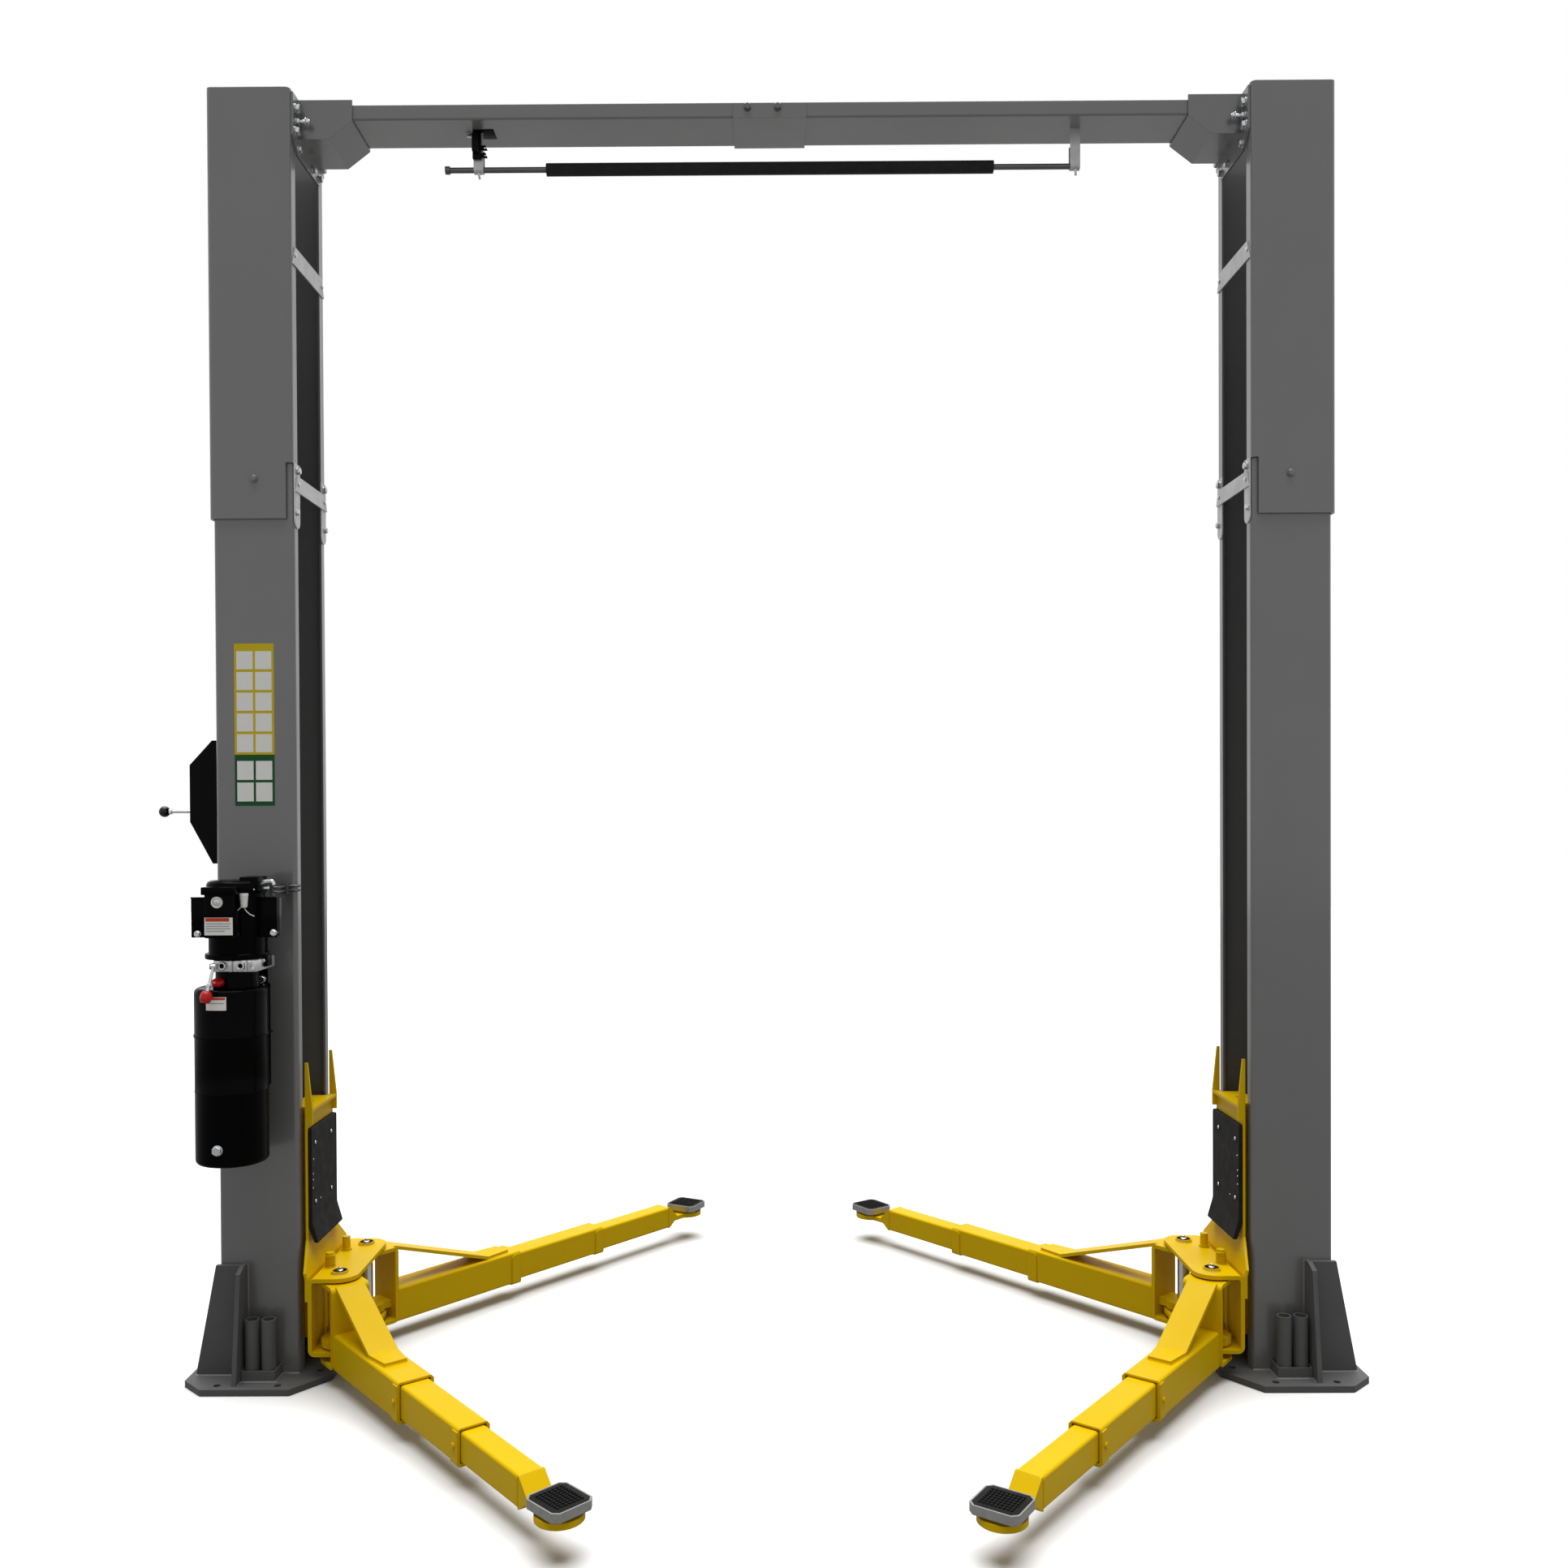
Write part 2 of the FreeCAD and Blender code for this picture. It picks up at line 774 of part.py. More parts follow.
def hinge_pins():
    pins = []
    for y in (-pin_half_spacing, pin_half_spacing):
        top = Vector(pin_place, y, channel_top)
        shank = rod(pin_radius, Vector(pin_place, y, pin_foot), top)
        head = rod(pin_head_radius, top, top + up * pin_head)
        pins.append(fused([shank, head]))
    return Part.makeCompound(pins)


def restraint(end):
    """A pull rod with a grip above the channel and a block beside the arm's gear."""
    y = end * restraint_half_spacing
    floor = carriage_bottom + channel_wall + slide_gap
    grip = Vector(restraint_place, y, channel_top + slide_gap)
    block = Vector(restraint_place, y, floor)
    return fused([
        rod(restraint_rod, Vector(restraint_place, y, carriage_bottom - restraint_foot), grip + up * past),
        rod(restraint_grip, grip, Vector(restraint_place, y, restraint_top)),
        rod(restraint_grip + restraint_rim, grip, grip + up * restraint_rim_height),
        rod(restraint_block, block, block + up * restraint_block_height)])


def gear():
    """A toothed disc round the hinge pin, tied to the bracket's web."""
    points = []
    for i in range(gear_teeth * 2):
        radius = gear_radius if i % 2 else gear_radius - gear_tooth
        angle = 2 * math.pi * i / (gear_teeth * 2)
        points.append((radius * math.cos(angle), radius * math.sin(angle)))
    low = carriage_bottom + gear_rise
    disc = plan(points, low, low + gear_height)
    tie = box((gear_tie_root, bracket_reach - 2), (-gear_tie_half, gear_tie_half), (low, low + gear_height))
    return disc.fuse(tie)


def hinge_bracket():
    """A folded bracket with rounded ends above and below the carriage's channel."""
    reach, wall, half = bracket_reach, bracket_wall, bracket_half_width
    low, high = bracket_bottom, bracket_top
    profile = [(reach, low), (reach, high), (-half, high), (-half, high - wall),
               (reach - wall, high - wall), (reach - wall, low + wall), (-half, low + wall), (-half, low)]
    inner = bracket_bend - wall
    bracket = front_view(profile, -half, half, [bracket_bend, bracket_bend, 0, 0, inner, inner, 0, 0])
    lobe = rod(half, Vector(0, 0, low), Vector(0, 0, high))
    return bracket.common(lobe.fuse(box((0, reach), (-half, half), (low, high))))


def brace(arm):
    """A sloped plate from the bracket's top down to the first tube, flat at its foot."""
    top, high, half = tube1_bottom + tube1_height, bracket_top, brace_width / 2
    foot, tip = arm["brace"], arm["pad_end"]
    root = bracket_reach - bracket_wall - 2
    slope = math.hypot(foot - bracket_reach, high - top) / (foot - bracket_reach)
    rise = brace_wall * slope
    plate = front_view([(root, high), (root, high - brace_wall), (root + brace_wall, high - brace_wall),
                        (foot, top), (tip, top), (tip, top + brace_wall),
                        (foot + brace_wall / 2, top + brace_wall), (bracket_reach, high)], -half, half)
    taper = plan([(root, -half), (foot, -half), (tip, -brace_end_width / 2),
                  (tip, brace_end_width / 2), (foot, half), (root, half)], top - past, high + rise)
    return plate.common(taper)


def collar(end, width, low, high):
    """A strap round a tube's open end: both sides and the bottom."""
    start = end - collar_length
    half, bottom, top = width / 2 + collar_wall, low - collar_wall, high - tube_bend
    band = square_tube((start, end), 2 * half, bottom, high + collar_wall, collar_wall + past,
                       tube_bend + collar_wall)
    cheek = front_view([(start, bottom), (end, bottom), (end, top), (start, top)], -half, half,
                       [0, 0, 0, collar_corner])
    return band.common(cheek)


def stop_pin(arm, end, width):
    """The round head of a stop pin on a collar's outboard side."""
    out = arm["side"] * arm["end"]
    x = end - collar_length / 2
    z = tube1_bottom + tube1_height / 2
    face = width / 2 + collar_wall
    return rod(stop_radius, Vector(x, -out * (face - past), z), Vector(x, -out * (face + stop_height), z))


def hinge_arm(arm):
    """Hinge bracket, first tube and brace, drawn along X from the hinge pin."""
    low, high, end = bracket_bottom, bracket_top, arm["tube1"]
    top = tube1_bottom + tube1_height
    tube = square_tube((bracket_reach - past, end), tube1_width, tube1_bottom, top, tube1_wall, tube_bend)
    upper = rod(washer_radius, Vector(0, 0, high), Vector(0, 0, channel_top - channel_wall - washer_play))
    lower = rod(washer_radius, Vector(0, 0, low + bracket_wall), Vector(0, 0, carriage_bottom - washer_play))
    shape = fused([hinge_bracket(), tube, collar(end, tube1_width, tube1_bottom, top), brace(arm),
                   upper, lower, gear(), stop_pin(arm, end, tube1_width)])
    return shape.cut(rod(pin_radius + pin_play, Vector(0, 0, low - past), Vector(0, 0, channel_top)))


def middle_tube(arm):
    end = arm["tube1"] + arm["out2"]
    tube = square_tube((end - arm["tube2"], end), tube2_width, tube2_bottom, tube2_top, tube2_wall, tube_bend)
    return fused([tube, collar(end, tube2_width, tube2_bottom, tube2_top), stop_pin(arm, end, tube2_width)])


def inner_tube(arm):
    """Third tube with a sloped nose and a round foot that carries the pad's pivot."""
    end = arm["tube1"] + arm["out2"] + arm["out3"]
    tube = square_tube((end - arm["tube3"], end), tube3_width, tube3_bottom, tube3_top, tube3_wall, tube_bend)
    half = tube3_width / 2
    root = end - nose_bend
    tip = end + nose_length
    nose = front_view([(root, tube3_bottom), (end, tube3_bottom), (tip - nose_rise, foot_bottom),
                       (tip, foot_bottom), (tip, foot_top), (end, tube3_top), (root, tube3_top)],
                      -half, half, [0, nose_bend, 0, 0, 0, nose_bend, 0])
    pad = Vector(end + pad_place, 0, 0)
    foot = box((end, pad.x), (-half, half), (foot_bottom, foot_top))
    disc = rod(boss_radius, pad + up * foot_bottom, pad + up * foot_top)
    boss = rod(pivot_boss_radius, pad + up * foot_top, pad + up * (foot_top + pivot_boss_height))
    pivot = rod(pivot_radius - pin_play, pad + up * foot_top, pad + up * (tray_bottom + tray_wall))
    return fused([tube, nose, foot, disc, boss, pivot])


def tray_outline(inset, low, high):
    x, y, bevel = tray_width / 2 - inset, tray_depth / 2 - inset, tray_bevel
    return plan([(-x + bevel, -y), (x - bevel, -y), (x, -y + bevel), (x, y - bevel), (x - bevel, y),
                 (-x + bevel, y), (-x, y - bevel), (-x, -y + bevel)], low, high)


def pad_tray():
    low, floor = tray_bottom, tray_bottom + tray_wall
    tray = tray_outline(0, low, low + tray_height)
    tray = tray.cut(tray_outline(tray_wall, floor, low + tray_height + past))
    return tray.cut(rod(pivot_radius, Vector(0, 0, low - past), Vector(0, 0, floor + past)))


def pad_rubber():
    low = tray_bottom + tray_wall + rubber_play
    return tray_outline(tray_wall + rubber_play, low, tray_bottom + tray_height + rubber_rise)


def placed_arm(shape, arm):
    shape = shape.copy()
    shape.rotate(Vector(0, 0, 0), up, arm["angle"])
    shape.translate(Vector(arm["side"] * pin_place, arm["end"] * pin_half_spacing, 0))
    return shape


def placed_pad(shape, arm):
    """A pad is turned to its own bearing, then set on its arm's foot."""
    reach = arm["tube1"] + arm["out2"] + arm["out3"] + pad_place
    angle = math.radians(arm["angle"])
    shape = shape.copy()
    shape.rotate(Vector(0, 0, 0), up, arm["turn"])
    shape.translate(Vector(arm["side"] * pin_place + reach * math.cos(angle),
                           arm["end"] * pin_half_spacing + reach * math.sin(angle), 0))
    return shape


def beam(side):
    """Half of the overhead channel, open upwards."""
    y, wall = beam_depth / 2, beam_wall
    end = bay_half_width - end_plate_wall
    inner = beam_bend - wall
    profile = [(-y, beam_top), (-y, beam_bottom), (y, beam_bottom), (y, beam_top),
               (y - wall, beam_top), (y - wall, beam_bottom + wall),
               (-y + wall, beam_bottom + wall), (-y + wall, beam_top)]
    radii = [0, beam_bend, beam_bend, 0, 0, inner, inner, 0]
    return to_side(side_view(profile, beam_joint / 2, end, radii), side)


def beam_sleeve():
    y = beam_depth / 2
    out = y + sleeve_wall
    low, top = beam_bottom - sleeve_wall, beam_top - sleeve_drop
    half = sleeve_length / 2
    return side_view([(-out, top), (-out, low), (out, low), (out, top), (y, top), (y, beam_bottom),
                      (-y, beam_bottom), (-y, top)], -half, half)


def beam_bracket():
    """A saddle under the channel's end, folded from plate, on an end plate against the lips."""
    face = bay_half_width
    wide, chamfer = end_plate_half_width, end_plate_chamfer
    high = overall_height - end_plate_gap
    bottom = high - end_plate_height
    plate = side_view([(-wide, high), (-wide, bottom + chamfer), (-wide + chamfer, bottom),
                       (wide - chamfer, bottom), (wide, bottom + chamfer), (wide, high)],
                      face - end_plate_wall, face)
    y, wall = beam_depth / 2 + saddle_wall, saddle_wall
    root, tip = face - end_plate_wall + past, face - saddle_reach
    top = beam_top + saddle_rise
    low = top - saddle_drop
    solid = front_view([(root, top), (tip, top), (tip, beam_bottom - wall),
                        (tip + saddle_chamfer, low), (root, low)], -y, y)
    hollow = front_view([(root - past, top + past), (tip - past, top + past), (tip - past, beam_bottom),
                         (tip + saddle_chamfer, low + wall), (root - past, low + wall)],
                        -y + wall, y - wall)
    return fused([plate, solid.cut(hollow)])


def hanger(place):
    """A strip that hangs from the channel and hooks under the shut-off bar."""
    inner = bar_radius + hanger_play
    outer = inner + hanger_wall
    x = (place - hanger_width / 2, place + hanger_width / 2)
    axis = (Vector(x[0], 0, bar_height), Vector(x[1], 0, bar_height))
    above = box(x, (-outer, outer), (bar_height, bar_height + outer))
    hook = rod(outer, *axis).cut(rod(inner, *axis)).cut(above)
    front = box(x, (-outer, -inner), (bar_height, beam_bottom))
    back = box(x, (inner, outer), (bar_height, bar_height + hanger_rise))
    return fused([hook, front, back])


def shutoff_bar():
    end = Vector(bar_left, 0, bar_height)
    bar = rod(bar_radius, end, Vector(bar_right, 0, bar_height))
    half = Vector(bar_cap_length / 2, 0, 0)
    return fused([bar, rod(bar_cap_radius, end - half, end + half)])


def bar_foam():
    ends = (Vector(-foam_half_length, 0, bar_height), Vector(foam_half_length, 0, bar_height))
    return rod(foam_radius, *ends).cut(rod(bar_radius, *ends))


def oil_tank():
    axis = Vector(tank_place, tank_front, tank_bottom)
    can = rod(tank_radius, axis, axis + up * tank_height)
    inside = rod(tank_radius - tank_wall, axis + up * tank_wall, axis + up * (tank_height - tank_wall))
    can = can.makeFillet(tank_bend, flat_edges(can))
    inside = inside.makeFillet(tank_bend - tank_wall, flat_edges(inside))
    low = axis + up * (tank_height - seam_drop)
    seam = rod(tank_radius + seam_rise, low, low + up * seam_height)
    drain = axis + Vector(-drain_side, -tank_radius, drain_height)
    half = Vector(0, drain_length / 2, 0)
    plug = rod(drain_radius, drain + half, drain - half)
    foot = axis + Vector(tank_radius - pipe_side, pipe_back, tank_height - pipe_height)
    pipe = rod(pipe_radius, foot, foot + up * (pipe_height + pipe_radius))
    return fused([can, seam, plug, pipe]).cut(inside)


def pump_block():
    """The valve block between tank and motor, with its neck, ports and wall bracket."""
    block = box((block_outer, block_outer + block_width), (block_front, block_front + block_depth),
                (block_bottom, block_top))
    axis = Vector(motor_place, tank_front, 0)
    neck = rod(neck_radius, axis + up * tank_top, axis + up * block_bottom)
    flange = rod(flange_radius, axis + up * block_top, axis + up * motor_bottom)
    lug_low = block_top - lug_drop
    lug = box((motor_place, motor_place + lug_reach),
              (tank_front - lug_depth / 2, tank_front + lug_depth / 2), (lug_low, lug_low + lug_height))
    across = (tank_place - mount_half_width, tank_place + mount_half_width)
    wall = box(across, (-column_half - mount_wall, -column_half),
               (block_bottom - mount_drop, block_bottom - mount_drop + mount_height))
    stay = box(across, (tank_front, -column_half),
               (block_bottom + stay_rise, block_bottom + stay_rise + mount_wall))
    pieces = [block, neck, flange, lug, stay, wall]
    for inset in port_insets:
        port = Vector(block_outer + inset, block_front, block_bottom + port_height)
        pieces.append(rod(port_radius, port + Vector(0, past, 0), port - Vector(0, port_length, 0)))
    reach = lever_hub_radius + past
    inner = lever_hub_half + pivot_play
    for side in (-1, 1):
        x = sorted((lever_pivot.x + side * inner, lever_pivot.x + side * (inner + pivot_cheek)))
        pieces.append(box(x, (lever_pivot.y - reach, block_front + past),
                          (lever_pivot.z - reach, lever_pivot.z + reach)))
    half = Vector(inner + past, 0, 0)
    pieces.append(rod(pivot_pin_radius, lever_pivot - half, lever_pivot + half))
    return fused(pieces)


def valve_lever():
    """The lowering lever: a hub on the block's pin, a rod and a round knob."""
    half = Vector(lever_hub_half, 0, 0)
    hub = rod(lever_hub_radius, lever_pivot - half, lever_pivot + half)
    stem = rod(lever_radius, lever_pivot, lever_knob)
    shape = fused([hub, stem, Part.makeSphere(knob_radius, lever_knob)])
    return shape.cut(rod(pivot_pin_radius + pin_play, lever_pivot - half * 2, lever_pivot + half * 2))


def motor():
    axis = Vector(motor_place, tank_front, 0)
    cap_top = motor_top + motor_cap_height
    can = rod(motor_radius, axis + up * motor_bottom, axis + up * motor_top)
    cap = rod(motor_cap_radius, axis + up * motor_top, axis + up * cap_top)
    rim = [edge for edge in flat_edges(cap) if edge.BoundBox.ZMin > motor_top + past]
    cap = cap.makeFillet(motor_cap_edge, rim)
    inner = motor_place + cover_block_inner
    cover = box((inner - cover_block_width, inner),
                (tank_front - cover_block_front, tank_front - cover_block_front + cover_block_depth),
                (motor_top + past, cap_top + cover_block_rise))
    pieces = [can, cap, cover]
    front = tank_front - motor_ear_front
    low = motor_bottom + motor_ear_low
    for sign in (-1, 1):
        x = sorted((motor_place + sign * motor_ear_root, motor_place + sign * motor_ear_reach))
        pieces.append(box(x, (front - motor_ear_wall / 2, front + motor_ear_wall / 2),
                          (low, low + motor_ear_height)))
    left = motor_place - switch_outer
    face = tank_front - switch_front
    top = motor_top + switch_rise
    switch = box((left, left + switch_width), (face, face + switch_depth), (motor_top - switch_drop, top))
    lid = box((left - lid_rim, left + switch_width + lid_rim), (face - lid_rim, face + switch_depth),
              (top - lid_drop, top - lid_drop + lid_height))
    button = Vector(motor_place - button_side, face, motor_top - button_drop)
    button = rod(button_radius, button + Vector(0, past, 0), button - Vector(0, button_height, 0))
    return fused(pieces + [switch, lid, button])


def hydraulic_lines():
    """Two thin lines from the motor's side round the column's front corner to its lip."""
    lines = []
    face = -column_half - line_radius - line_gap
    lip = -bay_half_width + line_radius + past
    start_x = motor_place + motor_cap_radius + 3 * past
    run = start_x + line_reach
    back = tank_front + line_back
    height = motor_top + line_rise
    for step in (-0.5, 0.5):
        z = height + step * line_spacing
        points = [Vector(start_x, back, z), Vector(run, back, z), Vector(run, face, z),
                  Vector(lip, face, z), Vector(lip, -column_half + line_end, z)]
        ring = Part.Wire(Part.makeCircle(line_radius, points[0], Vector(1, 0, 0)))
        lines.append(bent_path(points, line_bend).makePipe(Part.Face(ring)))
    fitting = box((start_x - past, start_x - past + fitting_length),
                  (back - fitting_half, back + fitting_half),
                  (height - fitting_half_height, height + fitting_half_height))
    clamp = box((run - clamp_half, run + clamp_half), (-column_half - clamp_depth, -column_half),
                (height - clamp_half_height, height + clamp_half_height))
    return fused([fitting, clamp] + lines)


def bent_path(points, radius):
    """Straight runs joined by arcs of one radius."""
    edges = []
    start = points[0]
    for before, corner, after in zip(points, points[1:], points[2:]):
        back = (before - corner).normalize()
        ahead = (after - corner).normalize()
        half = back.getAngle(ahead) / 2
        reach = radius / math.tan(half)
        middle = (back + ahead).normalize()
        top = corner + middle * (radius / math.sin(half) - radius)
        edges.append(Part.LineSegment(start, corner + back * reach).toShape())
        edges.append(Part.Arc(corner + back * reach, top, corner + ahead * reach).toShape())
        start = corner + ahead * reach
    edges.append(Part.LineSegment(start, points[-1]).toShape())
    return Part.Wire(edges)


def lock_cover():
    """A sloped cover over the safety lock, with the release lever's pin and slot."""
    root, half = column_outer, cover_half_depth

    def profile(inset):
        shoulder, front = root + cover_root_reach - inset / 2, root + cover_reach - inset
        return [(root, cover_top - inset), (shoulder, cover_top - inset),
                (front, cover_slope_top - inset / 2), (front, cover_slope_bottom + inset / 2),
                (shoulder, cover_bottom + inset), (root, cover_bottom + inset)]
    inside = front_view(profile(cover_wall), -half + cover_wall, half - cover_wall)
    shell = front_view(profile(0), -half, half).cut(inside)
    slot = box((release_pivot + 2 * release_pin, root + cover_reach + past),
               (-release_slot_half, release_slot_half),
               (release_height - release_slot_drop, release_height + release_slot_rise))
    pin = rod(release_pin, Vector(release_pivot, -half + past, release_height),
              Vector(release_pivot, half - past, release_height))
    return to_side(fused([shell.cut(slot), pin]), -1)


def release_lever():
    half = Vector(0, release_hub_length / 2, 0)
    axis = Vector(release_pivot, 0, release_height)
    end = Vector(ball_place, 0, release_height)
    hub = rod(release_hub, axis - half, axis + half)
    shape = fused([hub, rod(release_rod, axis, end), Part.makeSphere(ball_radius, end)])
    return to_side(shape.cut(rod(release_pin + pin_play, axis - half * 2, axis + half * 2)), -1)


nodes = {}
for name, side in (("left", -1), ("right", 1)):
    nodes[name + "_base_plate"] = to_side(base_plate(), side)
    nodes[name + "_column"] = to_side(column(), side)
    nodes[name + "_extension"] = to_side(extension(), side)
    nodes[name + "_straps"] = to_side(straps(), side)
    nodes[name + "_adapters"] = to_side(adapters(), side)
    nodes[name + "_lift_cylinder"] = to_side(lift_cylinder(), side)
    nodes[name + "_beam_bracket"] = to_side(beam_bracket(), side)
    nodes[name + "_beam"] = beam(side)
    nodes[name + "_carriage"] = to_side(carriage(), side)
    nodes[name + "_bumper"] = to_side(bumper(), side)
    nodes[name + "_hinge_pins"] = to_side(hinge_pins(), side)
    nodes[name + "_front_restraint"] = to_side(restraint(-1), side)
    nodes[name + "_rear_restraint"] = to_side(restraint(1), side)

for name, arm in arms.items():
    nodes[name + "_hinge_arm"] = placed_arm(hinge_arm(arm), arm)
    nodes[name + "_middle_tube"] = placed_arm(middle_tube(arm), arm)
    nodes[name + "_inner_tube"] = placed_arm(inner_tube(arm), arm)
    nodes[name + "_pad_tray"] = placed_pad(pad_tray(), arm)
    nodes[name + "_pad_rubber"] = placed_pad(pad_rubber(), arm)

nodes["beam_sleeve"] = beam_sleeve()
nodes["bar_hangers"] = Part.makeCompound([hanger(hanger_left), hanger(hanger_right)])
nodes["shutoff_bar"] = shutoff_bar()
nodes["bar_foam"] = bar_foam()
nodes["oil_tank"] = oil_tank()
nodes["pump_block"] = pump_block()
nodes["valve_lever"] = valve_lever()
nodes["motor"] = motor()
nodes["hydraulic_lines"] = hydraulic_lines()
nodes["lock_cover"] = lock_cover()
nodes["release_lever"] = release_lever()

os.makedirs("parts", exist_ok=True)
for name, shape in nodes.items():
    if not shape.isValid():
        print("not valid:", name)
    shape.exportStep("parts/" + name + ".step")
print(len(nodes), "nodes,", sum(len(shape.Solids) for shape in nodes.values()), "solids")
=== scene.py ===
import json
import math

import bmesh
import bpy
from mathutils import Matrix, Vector


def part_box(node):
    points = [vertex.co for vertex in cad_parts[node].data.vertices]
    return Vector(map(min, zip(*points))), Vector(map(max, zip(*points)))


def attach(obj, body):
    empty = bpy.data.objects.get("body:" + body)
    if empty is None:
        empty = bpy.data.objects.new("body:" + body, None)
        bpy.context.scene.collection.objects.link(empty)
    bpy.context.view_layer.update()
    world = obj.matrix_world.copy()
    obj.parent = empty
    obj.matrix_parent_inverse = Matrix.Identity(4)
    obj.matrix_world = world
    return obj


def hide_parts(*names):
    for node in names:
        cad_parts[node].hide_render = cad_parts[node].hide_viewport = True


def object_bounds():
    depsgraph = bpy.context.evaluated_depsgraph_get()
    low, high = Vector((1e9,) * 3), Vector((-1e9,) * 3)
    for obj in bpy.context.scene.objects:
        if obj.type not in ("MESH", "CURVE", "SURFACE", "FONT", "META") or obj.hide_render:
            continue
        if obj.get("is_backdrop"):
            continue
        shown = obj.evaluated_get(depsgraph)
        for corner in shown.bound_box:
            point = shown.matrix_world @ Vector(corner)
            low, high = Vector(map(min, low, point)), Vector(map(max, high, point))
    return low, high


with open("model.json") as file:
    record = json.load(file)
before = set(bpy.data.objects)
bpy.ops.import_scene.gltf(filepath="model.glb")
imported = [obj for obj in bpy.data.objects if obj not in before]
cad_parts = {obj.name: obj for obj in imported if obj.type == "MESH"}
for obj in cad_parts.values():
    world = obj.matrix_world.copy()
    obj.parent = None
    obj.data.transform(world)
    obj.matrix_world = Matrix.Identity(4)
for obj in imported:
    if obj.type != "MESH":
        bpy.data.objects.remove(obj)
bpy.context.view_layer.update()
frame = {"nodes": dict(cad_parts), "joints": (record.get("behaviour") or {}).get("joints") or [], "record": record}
print("frame loaded:", len(frame["nodes"]), "nodes")

# what the new pieces are set against, in metres: sizes of the right side, mirrored for the left
sides = (("left", -1), ("right", 1))
joints = {joint["name"]: joint for joint in frame["joints"]}
columnLow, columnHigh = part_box("right_column")
sleeveLow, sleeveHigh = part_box("right_extension")
openFace = columnLow.x
columnFront = columnLow.y
footTop = columnLow.z


# modelling

def deselect():
    for piece in bpy.context.selected_objects:
        piece.select_set(False)


def onlySelect(*pieces):
    deselect()
    for piece in pieces:
        piece.select_set(True)
    bpy.context.view_layer.objects.active = pieces[-1]


def settle(piece):      # place, turn and size go into the mesh, so the object sits at the origin
    onlySelect(piece)
    bpy.ops.object.transform_apply(location=True, rotation=True, scale=True)
    return piece


def bevelWhere(piece, chosen, width, segments):      # bevels the edges that a test picks
    onlySelect(piece)
    bpy.ops.object.mode_set(mode="EDIT")
    bpy.ops.mesh.select_mode(type="EDGE")
    bpy.ops.mesh.select_all(action="DESELECT")
    shape = bmesh.from_edit_mesh(piece.data)
    for edge in shape.edges:
        edge.select = chosen(edge)
    bmesh.update_edit_mesh(piece.data)
    bpy.ops.mesh.bevel(offset=width, segments=segments, affect="EDGES")
    bpy.ops.object.mode_set(mode="OBJECT")
    return piece


def softenEdges(piece, width, sharp=75, segments=2):
    def isSharp(edge):
        return edge.is_manifold and edge.calc_face_angle() > math.radians(sharp)
    return bevelWhere(piece, isSharp, width, segments)


def addBlock(low, high, edge=0.0):
    centre = [(a + b) / 2 for a, b in zip(low, high)]
    size = [b - a for a, b in zip(low, high)]
    deselect()
    bpy.ops.mesh.primitive_cube_add(size=1, location=centre, scale=size)
    block = settle(bpy.context.object)
    return softenEdges(block, edge) if edge else block


def addBar(start, end, radius, edge=0.0, sides=32):
    start, along = Vector(start), Vector(end) - Vector(start)
    turn = along.to_track_quat("Z", "Y").to_euler()
    deselect()
    bpy.ops.mesh.primitive_cylinder_add(vertices=sides, radius=radius, depth=along.length,
                                        location=start + along / 2, rotation=turn)
    bar = settle(bpy.context.object)
    return softenEdges(bar, edge) if edge else bar


def addTurned(profile, steps=64):      # (radius, height) pairs, spun round the upright axis
    mesh = bpy.data.meshes.new("turned")
    mesh.from_pydata([(r, 0, h) for r, h in profile], [(i, i + 1) for i in range(len(profile) - 1)], [])
    piece = bpy.data.objects.new("turned", mesh)
    bpy.context.scene.collection.objects.link(piece)
    onlySelect(piece)
    bpy.ops.object.mode_set(mode="EDIT")
    bpy.ops.mesh.select_all(action="SELECT")
    bpy.ops.mesh.spin(steps=steps, angle=2 * math.pi, center=(0, 0, 0), axis=(0, 0, 1))
    bpy.ops.mesh.select_all(action="SELECT")
    bpy.ops.mesh.remove_doubles(threshold=1e-5)
    bpy.ops.mesh.normals_make_consistent(inside=False)
    bpy.ops.object.mode_set(mode="OBJECT")
    return piece


def ringProfile(inner, outer, low, high):      # a sleeve's cross section, for addTurned
    return [(inner, low), (outer, low), (outer, high), (inner, high), (inner, low)]


def addWire(points, radius, name="wire"):      # a bent rod or bead through points, with capped ends
    curve = bpy.data.curves.new(name, "CURVE")
    curve.dimensions = "3D"
    curve.bevel_depth, curve.bevel_resolution, curve.use_fill_caps = radius, 2, True
    line = curve.splines.new("POLY")
    line.points.add(len(points) - 1)
    for point, spot in zip(line.points, points):
        point.co = (*spot[:3], 1)
        point.radius = spot[3] if len(spot) > 3 else 1.0
    piece = bpy.data.objects.new(name, curve)
    bpy.context.scene.collection.objects.link(piece)
    onlySelect(piece)
    bpy.ops.object.convert(target="MESH")
    return bpy.context.object


def addBead(points, radius, spacing=0.004):      # a weld bead: its thickness ripples along its run
    spots = []
    for start, end in zip(points, points[1:]):
        start, end = Vector(start), Vector(end)
        count = max(2, int((end - start).length / spacing))
        spots += [start.lerp(end, i / count) for i in range(count)]
    spots.append(Vector(points[-1]))
    return addWire([(*spot, 1.0 if i % 2 else 0.72) for i, spot in enumerate(spots)], radius, "bead")


